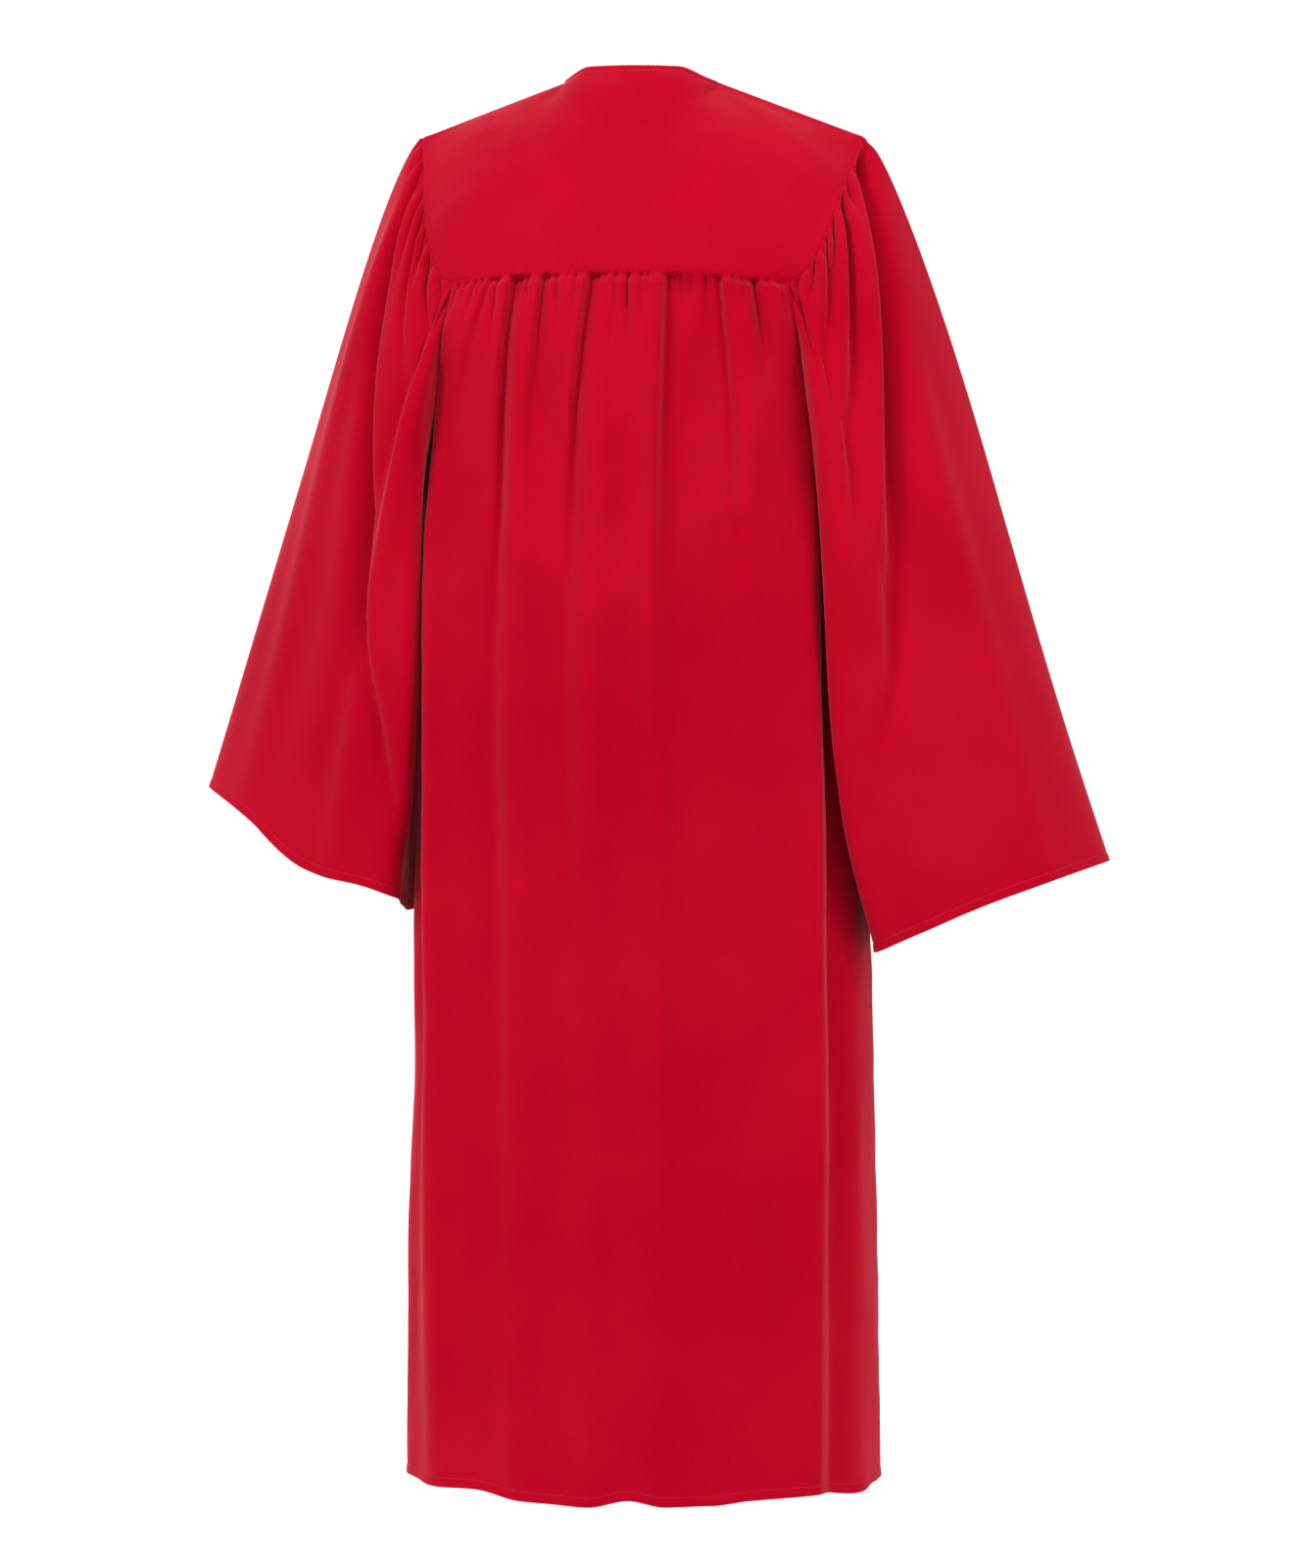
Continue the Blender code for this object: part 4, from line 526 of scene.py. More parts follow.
# Folds of the sleeves. Places run around the tube from the shoulder over the back.
SLEEVE_FOLDS_RIGHT = (
    # place at armhole, at cuff, half width top, half width below, depth, start, reach, sharpness
    (0.005, 0.03, 0.0034, 0.0070, 0.0024, 0.010, 0.08, 1.3),
    (0.026, 0.40, 0.0160, 0.0300, 0.0300, 0.050, 0.95, 1.5, -0.55, 1.00),
    (0.052, 0.20, 0.0040, 0.0080, 0.0036, 0.008, 0.07, 1.3),
    (0.071, 0.44, 0.0036, 0.0070, 0.0030, 0.008, 0.09, 1.3),
    (0.084, 0.24, 0.0044, 0.0100, 0.0046, 0.010, 0.12, 1.3),
    (0.106, 0.50, 0.0070, 0.0190, 0.0140, 0.016, 0.55, 1.5, -0.45, 1.00),
    (0.122, 0.30, 0.0036, 0.0070, 0.0034, 0.008, 0.06, 1.3),
    (0.138, 0.56, 0.0044, 0.0110, 0.0056, 0.010, 0.20, 1.3),
    (0.151, 0.34, 0.0034, 0.0065, 0.0030, 0.008, 0.07, 1.3),
    (0.169, 0.46, 0.0054, 0.0160, 0.0082, 0.012, 0.36, 1.4, -0.3),
    (0.188, 0.28, 0.0038, 0.0080, 0.0040, 0.008, 0.08, 1.3),
    (0.205, 0.48, 0.0046, 0.0110, 0.0054, 0.010, 0.17, 1.3),
    (0.221, 0.30, 0.0034, 0.0070, 0.0032, 0.008, 0.07, 1.3),
    (0.238, 0.42, 0.0048, 0.0130, 0.0060, 0.012, 0.24, 1.3),
    (0.262, 0.34, 0.0044, 0.0100, 0.0042, 0.014, 0.14, 1.3),
    (0.752, 0.70, 0.0044, 0.0110, 0.0044, 0.012, 0.16, 1.3),
    (0.776, 0.66, 0.0038, 0.0080, 0.0034, 0.008, 0.09, 1.3),
    (0.794, 0.76, 0.0048, 0.0130, 0.0056, 0.012, 0.24, 1.3),
    (0.818, 0.72, 0.0036, 0.0070, 0.0032, 0.008, 0.07, 1.3),
    (0.842, 0.68, 0.0056, 0.0190, 0.0086, 0.014, 0.55, 1.5),
    (0.864, 0.80, 0.0036, 0.0080, 0.0034, 0.008, 0.08, 1.3),
    (0.884, 0.84, 0.0044, 0.0110, 0.0048, 0.012, 0.18, 1.3),
    (0.908, 0.72, 0.0052, 0.0170, 0.0076, 0.014, 0.45, 1.4),
    (0.930, 0.86, 0.0036, 0.0070, 0.0030, 0.008, 0.07, 1.3),
    (0.948, 0.90, 0.0042, 0.0100, 0.0042, 0.012, 0.15, 1.3),
    (0.972, 0.94, 0.0038, 0.0080, 0.0032, 0.010, 0.10, 1.3),
    # soft folds toward the cuff
    (0.200, 0.200, 0.030, 0.036, 0.0060, 0.55, 1.90, 2.0),
    (0.120, 0.130, 0.028, 0.034, -0.0050, 0.55, 1.90, 2.0),
    (0.300, 0.290, 0.026, 0.030, -0.0050, 0.50, 1.90, 2.0),
    (0.720, 0.720, 0.034, 0.040, 0.0070, 0.50, 1.90, 2.0),
    (0.850, 0.850, 0.030, 0.036, -0.0050, 0.50, 1.90, 2.0),
)
SLEEVE_FOLDS_LEFT = (
    # place at armhole, at cuff, half width top, half width below, depth, start, reach, sharpness
    (0.006, 0.02, 0.0034, 0.0070, 0.0024, 0.010, 0.08, 1.3),
    (0.022, 0.16, 0.0042, 0.0090, 0.0040, 0.010, 0.12, 1.3),
    (0.038, 0.06, 0.0034, 0.0070, 0.0028, 0.008, 0.07, 1.3),
    (0.050, 0.43, 0.0120, 0.0280, 0.0280, 0.030, 1.12, 1.6, -0.50, 1.00),
    (0.074, 0.30, 0.0040, 0.0080, 0.0038, 0.008, 0.08, 1.3),
    (0.092, 0.42, 0.0046, 0.0120, 0.0054, 0.010, 0.20, 1.3),
    (0.107, 0.26, 0.0034, 0.0070, 0.0030, 0.008, 0.06, 1.3),
    (0.124, 0.50, 0.0058, 0.0160, 0.0080, 0.012, 0.36, 1.4, -0.3),
    (0.143, 0.32, 0.0036, 0.0070, 0.0034, 0.008, 0.07, 1.3),
    (0.158, 0.46, 0.0044, 0.0110, 0.0052, 0.010, 0.16, 1.3),
    (0.175, 0.34, 0.0034, 0.0070, 0.0030, 0.008, 0.09, 1.3),
    (0.192, 0.48, 0.0052, 0.0140, 0.0070, 0.012, 0.28, 1.3),
    (0.211, 0.30, 0.0036, 0.0070, 0.0034, 0.008, 0.07, 1.3),
    (0.229, 0.42, 0.0046, 0.0120, 0.0056, 0.012, 0.20, 1.3),
    (0.247, 0.30, 0.0036, 0.0070, 0.0030, 0.010, 0.09, 1.3),
    (0.264, 0.34, 0.0044, 0.0100, 0.0042, 0.014, 0.14, 1.3),
    (0.750, 0.72, 0.0044, 0.0110, 0.0044, 0.012, 0.16, 1.3),
    (0.770, 0.74, 0.0038, 0.0080, 0.0036, 0.008, 0.08, 1.3),
    (0.800, 0.70, 0.0056, 0.0190, 0.0082, 0.014, 0.50, 1.5),
    (0.821, 0.78, 0.0036, 0.0070, 0.0032, 0.008, 0.07, 1.3),
    (0.842, 0.76, 0.0046, 0.0120, 0.0052, 0.012, 0.20, 1.3),
    (0.872, 0.74, 0.0054, 0.0170, 0.0078, 0.014, 0.45, 1.4),
    (0.893, 0.86, 0.0036, 0.0080, 0.0034, 0.008, 0.07, 1.3),
    (0.914, 0.86, 0.0044, 0.0110, 0.0048, 0.012, 0.17, 1.3),
    (0.940, 0.90, 0.0036, 0.0070, 0.0030, 0.008, 0.08, 1.3),
    (0.966, 0.94, 0.0040, 0.0090, 0.0038, 0.012, 0.13, 1.3),
    # soft folds toward the cuff
    (0.080, 0.120, 0.030, 0.040, -0.0060, 0.30, 1.90, 2.0),
    (0.300, 0.300, 0.022, 0.026, -0.0100, 0.30, 1.90, 2.0),
    (0.385, 0.385, 0.045, 0.050, -0.0095, 0.50, 1.90, 2.0),
    (0.720, 0.720, 0.034, 0.040, 0.0070, 0.50, 1.90, 2.0),
    (0.850, 0.850, 0.030, 0.036, -0.0050, 0.50, 1.90, 2.0),
)
# Short creases of the yokes, rising from their lower seams.
YOKE_CREASES = (
    # place across, lean, half width, depth, reach upward
    (-0.92, 0.10, 0.012, 0.0005, 0.030),
    (-0.80, 0.25, 0.010, 0.0006, 0.034),
    (-0.66, -0.20, 0.012, 0.0005, 0.026),
    (-0.55, 0.30, 0.012, 0.0007, 0.040),
    (-0.40, 0.10, 0.012, 0.0005, 0.028),
    (-0.28, -0.25, 0.014, 0.0006, 0.036),
    (-0.12, 0.15, 0.012, 0.0005, 0.024),
    (0.02, -0.20, 0.014, 0.0006, 0.032),
    (0.16, 0.20, 0.012, 0.0005, 0.026),
    (0.30, -0.30, 0.014, 0.0007, 0.042),
    (0.44, -0.10, 0.012, 0.0006, 0.028),
    (0.57, -0.35, 0.014, 0.0009, 0.046),
    (0.70, -0.15, 0.012, 0.0006, 0.030),
    (0.83, 0.20, 0.010, 0.0006, 0.028),
    (0.94, -0.10, 0.012, 0.0005, 0.024),
)


def arc_at(side, x):
    """Place along the yoke's seam of a sideways distance from the middle."""
    phis, lengths = arc(side, CORNERS[side][0])
    return np.sign(x) * np.interp(abs(x), ring(side, CORNERS[side][0], phis)[:, 0], lengths)


def trough(off, half, sharp, skew):
    """Cross-section of a fold; skew above 0 makes its flank on the positive side the wider one."""
    half = half * (1 + 0.75 * skew * np.tanh(off / (0.35 * half)))
    return np.exp(-np.abs(off / half) ** sharp)


def folds(table, s, t):
    """Depth of the soft and sharp troughs of a table at place s, a distance t below the seam."""
    d = np.zeros(np.broadcast(s, t).shape)
    for row in table:
        place, lean, half_top, half_low, depth, start, reach, sharp = row[:8]
        skew = row[8] if len(row) > 8 else 0.0
        run = np.minimum(t, 0.12) + np.maximum(t - 0.12, 0) * (0.25 if reach < 0.6 else 1.0)
        half = half_top + (half_low - half_top) * smooth(t / reach)
        share = smooth(t / start) * (1 - smooth((t - 0.25 * reach) / (0.75 * reach)))
        if reach < 0.15:
            depth = depth * 1.35
        d = d - depth * share * trough(s - place - lean * run, half, sharp, skew)
    return d


def wobble(x, y, seed, scale, count=7):
    """Smooth unevenness from a few waves, between about -1 and 1."""
    rng = np.random.RandomState(seed)
    out = np.zeros(np.broadcast(x, y).shape)
    for k in range(count):
        a = rng.uniform(0, 2 * np.pi)
        f = 2 * np.pi / (scale * rng.uniform(0.6, 1.7))
        out = out + np.sin(f * (x * np.cos(a) + y * np.sin(a)) + rng.uniform(0, 2 * np.pi))
    return out / math.sqrt(count)


# Grids of cloth.

def grid_normals(p, wrap):
    """Normals of a grid of points (rows, columns)."""
    if wrap:
        q = np.concatenate([p[:, -1:], p, p[:, :1]], axis=1)
        du = q[:, 2:] - q[:, :-2]
    else:
        du = np.gradient(p, axis=1)
    dv = np.gradient(p, axis=0)
    return unit(np.cross(du, dv))


def tucked(p, n, depth, edge, amount):
    """One more row or column that turns in behind an edge, as a seam's allowance does."""
    axis = 0 if edge in ("top", "foot") else 1
    at, next_at = (0, 1) if edge in ("top", "low") else (-1, -2)
    a = np.take(p, at, axis)
    m = np.take(n, at, axis)
    amount = np.broadcast_to(amount, a.shape[:1])[:, None]
    more = a + amount * 0.0006 * unit(a - np.take(p, next_at, axis)) - amount * 0.0012 * m
    out = []
    for values, new in ((p, more), (n, m), (depth, np.take(depth, at, axis))):
        new = np.expand_dims(new, axis)
        out.append(np.concatenate([new, values] if at == 0 else [values, new], axis=axis))
    return out


def shell(name, p, outward, material, depth, wrap=False, tucks=()):
    """Thin closed cloth from a grid of outer points; depth is its thickness at each point."""
    n = grid_normals(p, wrap) * outward
    for edge, amount in tucks:
        p, n, depth = tucked(p, n, depth, edge, amount)
    rows, cols = p.shape[:2]
    inner = p - depth[..., None] * n
    verts = settle(np.concatenate([p.reshape(-1, 3), inner.reshape(-1, 3)]))
    index = np.arange(rows * cols).reshape(rows, cols)
    if wrap:
        index = np.concatenate([index, index[:, :1]], axis=1)
    a, b = index[:-1, :-1].ravel(), index[:-1, 1:].ravel()
    c, d = index[1:, 1:].ravel(), index[1:, :-1].ravel()
    outer = np.stack([a, b, c, d], axis=1) if outward > 0 else np.stack([a, d, c, b], axis=1)
    half = rows * cols
    faces = [outer, outer[:, ::-1] + half]
    rims = [(index[0, 1:], index[0, :-1]), (index[-1, :-1], index[-1, 1:])]
    if not wrap:
        rims += [(index[:-1, 0], index[1:, 0]), (index[1:, -1], index[:-1, -1])]
    for e, f in rims:
        quad = np.stack([e, f, f + half, e + half], axis=1)
        faces.append(quad if outward > 0 else quad[:, ::-1])
    obj = mesh_object(name, verts, np.concatenate(faces), material)
    obj.data.set_sharp_from_angle(angle=math.radians(60))
    return obj


def mesh_object(name, verts, faces, material):
    """Mesh from arrays of points and of faces with the same number of corners."""
    mesh = bpy.data.meshes.new(name)
    k = faces.shape[1]
    mesh.vertices.add(len(verts))
    mesh.vertices.foreach_set("co", np.asarray(verts, np.float32).ravel())
    mesh.loops.add(faces.size)
    mesh.loops.foreach_set("vertex_index", faces.astype(np.int32).ravel())
    mesh.polygons.add(len(faces))
    mesh.polygons.foreach_set("loop_start", np.arange(0, faces.size, k, dtype=np.int32))
    mesh.update(calc_edges=True)
    mesh.validate()
    mesh.shade_smooth()
    mesh.materials.append(material)
    obj = bpy.data.objects.new(name, mesh)
    bpy.context.scene.collection.objects.link(obj)
    return obj


def dense(count, first, last, power=2.2):
    """Steps from 0 to 1 whose size grows from first to last."""
    x = np.linspace(0, 1, count)
    w = first + (last - first) * x ** power
    out = np.concatenate([[0.0], np.cumsum((w[1:] + w[:-1]) / 2)])
    return out / out[-1]


def edge_depth(rows, cols, near):
    """Thickness that grows to a seam's depth along the named edges; near gives distances."""
    depth = np.full((rows, cols), CLOTH)
    for distance in near:
        depth = depth + (SEAM_DEPTH - CLOTH) * np.exp(-(distance / 0.0022) ** 2)
    return np.minimum(depth, SEAM_DEPTH)


def roll(distance):
    """The cloth rises beside a seam, which so lies in a soft valley."""
    k = distance / 0.0018
    return 0.0004 * k * np.exp(1 - k)


def hem_finish(distance):
    """A narrow turned hem: slightly proud, with the line of its stitches pressed in."""
    turned = 0.00035 * (1 - smooth((distance - 0.0085) / 0.002))
    return turned - 0.0008 * np.exp(-((distance - 0.0090) / 0.0013) ** 2)


def level_line(p, n, distance, value):
    """Points and normals of a grid where a distance reaches a value, one for each column."""
    points = np.zeros((p.shape[1], 3))
    normals = np.zeros((p.shape[1], 3))
    for c in range(p.shape[1]):
        order = np.argsort(distance[:, c])
        for k in range(3):
            points[c, k] = np.interp(value, distance[order, c], p[order, c, k])
            normals[c, k] = np.interp(value, distance[order, c], n[order, c, k])
    return points, unit(normals)


def stitches(name, lines, material, pitch=0.0029, length=0.0021, radius=0.00026, sink=0.00012):
    """Rows of short rounded stitches along lines of (points, normals)."""
    xs = np.array([-0.5] + [-0.34] * 5 + [0.0] * 5 + [0.34] * 5 + [0.5]) * length
    turn = np.tile(np.arange(5) * 2 * np.pi / 5, 3)
    wide = np.concatenate([[0.0], np.repeat([0.8, 1.0, 0.8], 5) * np.cos(turn), [0.0]]) * radius
    high = np.concatenate([[-0.6], np.repeat([0.8, 1.0, 0.8], 5) * np.sin(turn), [-0.6]]) * radius - sink
    tri = [(0, 1 + (k + 1) % 5, 1 + k) for k in range(5)]
    for r in (0, 1):
        for k in range(5):
            a, b = 1 + 5 * r + k, 1 + 5 * r + (k + 1) % 5
            tri += [(a, b, b + 5), (a, b + 5, a + 5)]
    tri += [(16, 11 + k, 11 + (k + 1) % 5) for k in range(5)]
    tri = np.array(tri)
    verts = []
    for points, normals in lines:
        total = np.concatenate([[0.0], np.cumsum(np.linalg.norm(np.diff(points, axis=0), axis=1))])
        count = int(total[-1] / pitch)
        at = (np.arange(count) + 0.5) * total[-1] / count
        spot = [np.stack([np.interp(at + e, total, points[:, k]) for k in range(3)], axis=-1)
                for e in (-length / 2, 0.0, length / 2)]
        up = np.stack([np.interp(at, total, normals[:, k]) for k in range(3)], axis=-1)
        way = unit(spot[2] - spot[0])
        up = unit(up - way * np.sum(up * way, axis=1)[:, None])
        side = np.cross(way, up)
        v = (spot[1][:, None] + way[:, None] * xs[:, None] + side[:, None] * wide[:, None]
             + up[:, None] * high[:, None])
        verts.append(v.reshape(-1, 3))
    verts = settle(np.concatenate(verts))
    starts = np.arange(len(verts) // 17) * 17
    faces = (tri[None] + starts[:, None, None]).reshape(-1, 3)
    return mesh_object(name, verts, faces, material)


# The yokes.

def yoke_piece(name, side, sign, cols, rows, material):
    if side > 0:
        u = np.sin(np.linspace(-1, 1, cols) * np.pi / 2 * 0.85) / math.sin(np.pi / 2 * 0.85)
    else:
        u = np.linspace(0, 1, cols)
    half_rows = dense((rows + 1) // 2, 1.0, 5.0, 1.0) / 2
    v = np.concatenate([half_rows, 1 - half_rows[::-1][1:]])
    uu, vv = np.meshgrid(u, v)
    p = yoke(side, uu, vv)
    n = yoke_normal(side, uu, vv)
    length = np.linalg.norm(np.diff(p, axis=0), axis=2)
    down = np.concatenate([np.zeros((1, cols)), np.cumsum(length, axis=0)])
    from_foot = down[-1] - down
    width = np.linalg.norm(np.diff(p, axis=1), axis=2)
    across = np.concatenate([np.zeros((len(v), 1)), np.cumsum(width, axis=1)], axis=1)
    from_low = across
    from_high = across[:, -1:] - across
    d = 0.0012 * wobble(uu * 0.2, vv * 0.16, 11 if side > 0 else 12, 0.11)
    d = d + 0.0004 * wobble(uu * 0.2, vv * 0.16, 13, 0.035)
    place = uu if side > 0 else uu * 2 - 1
    for at, lean, half, depth, reach in YOKE_CREASES:
        share = smooth(from_foot / 0.002) * (1 - smooth(from_foot / reach))
        d = d - 1.7 * depth * share * np.exp(-np.abs((place - at - lean * from_foot * 4) / half) ** 1.5)
    d = d + 0.0006 * np.exp(-((from_foot - 0.006) / 0.004) ** 2)
    shoulder = np.abs(uu) > (NECK_SHARE_BACK if side > 0 else NECK_SHARE_FRONT)
    from_top = down + np.where(shoulder, 0.0, 1.0)
    seams = [from_foot, from_top, from_high] + ([from_low] if side > 0 else [])
    edge = smooth(from_foot / 0.012) * smooth(down / 0.012) * smooth(from_high / 0.012)
    if side > 0:
        edge = edge * smooth(from_low / 0.012)
    d = d * np.where(from_foot < 0.05, np.minimum(1, edge + 0.4), edge)
    for distance in seams:
        d = d + roll(distance)
    neck = down + np.where(shoulder, 1.0, 0.0)
    d = d + hem_finish(neck + 0.004)
    p = p + d[..., None] * n
    depth = edge_depth(len(v), cols, seams)
    if side < 0:
        depth = depth + 0.0012 * (1 - smooth((from_low - 0.011) / 0.001))
    if sign < 0:
        p = flip(p)
    tucks = [("foot", 1.0), ("top", np.where(shoulder[0], 1.0, 0.45)), ("high", 1.0)]
    tucks += [("low", 1.0)] if side > 0 else []
    obj = shell(name, p, side * sign, material, depth, tucks=[t for t in tucks if t[0] in ("top", "foot")])
    n = grid_normals(p, False) * side * sign
    inside = np.abs(u) < (NECK_SHARE_BACK if side > 0 else NECK_SHARE_FRONT) + 0.02
    points, normals = level_line(p, n, down, 0.0078)
    lines = [(points[inside], normals[inside])]
    if side < 0:
        points, normals = level_line(p.swapaxes(0, 1), n.swapaxes(0, 1), from_low.T, 0.0080)
        lines.append((points[2:-1], normals[2:-1]))
    return obj, lines


def flip(v):
    return v * np.array([-1.0, 1.0, 1.0])


# The back and the two fronts.

def panel_rows(side):
    top = CORNERS[side][0]
    t = top + dense(120, 1.0, 15.0, 1.3) * (HEM - 0.030 - top)
    t = t[(t < UNDERARM - 0.042) | (t > UNDERARM + 0.006)]
    near = UNDERARM - 0.040 * (np.arange(15)[::-1] / 14) ** 2
    t = np.concatenate([t[t < UNDERARM], near, [UNDERARM + 0.0008], t[t > UNDERARM]])
    return np.concatenate([t, HEM - 0.030 + np.linspace(0.0025, 0.030, 12)])


def places(side, drop, q):
    """Places across a row: the middle columns hang straight, and the outer ones make up the width."""
    phis, lengths = arc(side, drop)
    inner = float(np.interp(-CORNERS[side][1], -phis, lengths))
    first = 0.0 if side > 0 else OPENING_HALF
    w = np.abs(q)
    return np.sign(q) * (first + w * (inner - first) + (lengths[-1] - inner) * smooth_end((w - 0.60) / 0.40))


def smooth_end(t):
    t = np.clip(t, 0.0, 1.0)
    return t * t * (2.0 - t)


def panel_piece(name, side, sign, cols, material):
    drops = panel_rows(side)
    top = CORNERS[side][0]
    if side > 0:
        share = np.linspace(-1, 1, cols)
        gathers = [(arc_at(side, r[0]),) + tuple(r[1:]) for r in GATHERS_BACK]
        soft = SOFT_BACK
        seam_u = np.linspace(-1, 1, 801)
    else:
        share = np.linspace(0, 1, cols)
        gathers = [(arc_at(side, r[0]),) + tuple(r[1:]) for r in GATHERS_FRONT]
        soft = SOFT_FRONT
        seam_u = np.linspace(0, 1, 801)
    seam_points = yoke_seam(side, seam_u)
    seed = 21 if side > 0 else (22 if sign > 0 else 23)
    grid = np.zeros((len(drops), cols, 3))
    seam = np.zeros((len(drops), cols))
    for r, drop in enumerate(drops):
        end = half_length(side, drop)
        s = places(side, drop, share)
        if side < 0:
            s[0] = OPENING_HALF
        p, normal, across, down = body_base(side, drop, s)
        t = drop - top
        if t < 0.02:
            x = body_base(side, top, s * half_length(side, top) / end)[0]
            want = np.stack([np.interp(x[:, 0], seam_points[:, 0], seam_points[:, k]) for k in range(3)], axis=-1)
            p = p + (want - x) * (1 - smooth(t / 0.02))
        tt = np.full_like(s, t)
        d = folds(gathers, s, tt) + folds(soft, s, tt)
        puff = smooth(tt / 0.012) * (1 - smooth((tt - 0.02) / 0.12))
        d = d + (0.0066 + 0.0016 * wobble(s, tt * 0.2, 61, 0.045)) * puff
        d = d + 0.0006 * np.sin(2 * np.pi * s / 0.0061 + 2 * wobble(s, tt, 5, 0.05)) * np.exp(-tt / 0.006) * smooth(tt / 0.0015)
        d = d + 0.0011 * wobble(s, tt * 0.35, seed, 0.09) * smooth(tt / 0.06)
        d = d + 0.00035 * wobble(s, tt * 0.5, seed + 40, 0.03) * smooth(tt / 0.03)
        if side < 0:
            d = d * smooth((s - 0.014) / 0.02)
        gap = end - np.abs(s)
        d = d * smooth(t / 0.0035) * smooth(gap / 0.012)
        d = d + roll(tt) + roll(gap)
        d = d + hem_finish(np.full_like(s, HEM - drop))
        grid[r] = p + d[:, None] * normal
        seam[r] = gap
    fall = np.broadcast_to((drops - top)[:, None], seam.shape)
    depth = edge_depth(len(drops), cols, [fall, seam])
    hem = HEM - np.broadcast_to(drops[:, None], seam.shape)
    depth = depth + 0.0007 * (1 - smooth((hem - 0.0095) / 0.001))
    steps = np.linalg.norm(np.diff(grid, axis=1), axis=2)
    along = np.concatenate([np.zeros((len(drops), 1)), np.cumsum(steps, axis=1)], axis=1)
    if side < 0:
        depth = depth + 0.0010 * (1 - smooth((along - 0.011) / 0.001))
        if sign < 0:
            grid = flip(grid)
    tucks = [("top", 1.0)]
    obj = shell(name, grid, side * sign, material, depth, tucks=tucks)
    n = grid_normals(grid, False) * side * sign
    lines = [level_line(grid, n, hem, 0.0090)]
    if side < 0:
        points, normals = level_line(grid.swapaxes(0, 1), n.swapaxes(0, 1), along.T, 0.0080)
        lines.append((points[1:-3], normals[1:-3]))
    return obj, lines


# The sleeves.

def armhole_loop():
    """Points of the armhole at +X and their places around, as in the solids but finer."""
    v = np.linspace(0, 1, 161)
    one = np.ones_like(v)
    parts = [yoke(1, one, v)]
    back = YOKE_DROP_BACK + (UNDERARM - YOKE_DROP_BACK) * np.sin(np.linspace(0, np.pi / 2, 161))[1:]
    front = YOKE_DROP_FRONT + (UNDERARM - YOKE_DROP_FRONT) * np.sin(np.linspace(0, np.pi / 2, 161))[1:]
    parts.append(np.array([ring(1, q, float(edge_phi(1, q))) for q in back]))
    parts.append(np.array([ring(-1, q, float(edge_phi(-1, q))) for q in front[:-1]])[::-1])
    parts.append(yoke(-1, one, v)[::-1])
    points = np.concatenate(parts)
    marks = np.cumsum([0, 160, len(back), len(front), 160])
    steps = np.concatenate([[0.0], np.cumsum(np.linalg.norm(np.diff(points, axis=0), axis=1))])
    place = np.zeros(len(points))
    for q in range(4):
        i, j = marks[q], marks[q + 1]
        place[i:j + 1] = (q + (steps[i:j + 1] - steps[i]) / (steps[j] - steps[i])) / 4
    return points, place, steps[-1]


LOOP = armhole_loop()


def loop_point(u):
    points, place, length = LOOP
    u = np.mod(u, 1.0)
    return np.stack([np.interp(u, place, points[:, k]) for k in range(3)], axis=-1)


def sleeve_base(table, u, v):
    """Unfolded sleeve at +X: from the armhole to the cuff."""
    key = column(table, 0)
    leave = np.stack([loop_curve(key, column(table, k), u) for k in (1, 2, 3)], axis=-1)
    cuff = np.stack([loop_curve(key, column(table, k), u) for k in (4, 5, 6)], axis=-1)
    arrive = np.stack([loop_curve(key, column(table, k), u) for k in (7, 8, 9)], axis=-1)
    start = loop_point(u)
    v = v[..., None]
    return ((1 + 2 * v) * (1 - v) ** 2 * start + v * (1 - v) ** 2 * leave
            + v * v * (3 - 2 * v) * cuff + v * v * (v - 1) * arrive)


def sleeve_depth(table, u, v):
    d = np.zeros(np.broadcast(u, v).shape)
    for row in table:
        at_top, at_cuff, half_top, half_low, depth, start, reach, sharp = row[:8]
        skew = row[8] if len(row) > 8 else 0.0
        bend = row[9] if len(row) > 9 else 0.9
        if reach < 0.3:
            depth = depth * 1.35
            half_top = half_top * 1.3
        middle = at_top + (at_cuff - at_top) * np.clip(v, 0, 1) ** bend
        half = half_top + (half_low - half_top) * smooth(v / reach)
        share = smooth(v / start) * (1 - smooth((v - 0.25 * reach) / (0.75 * reach)))
        off = np.mod(u - middle + 0.5, 1.0) - 0.5
        d = d - depth * share * trough(off, half, sharp, skew)
    return d + 0.0036 * smooth(v / 0.02) * (1 - smooth((np.abs(np.mod(u, 1.0) - 0.5) - 0.05) / -0.06))


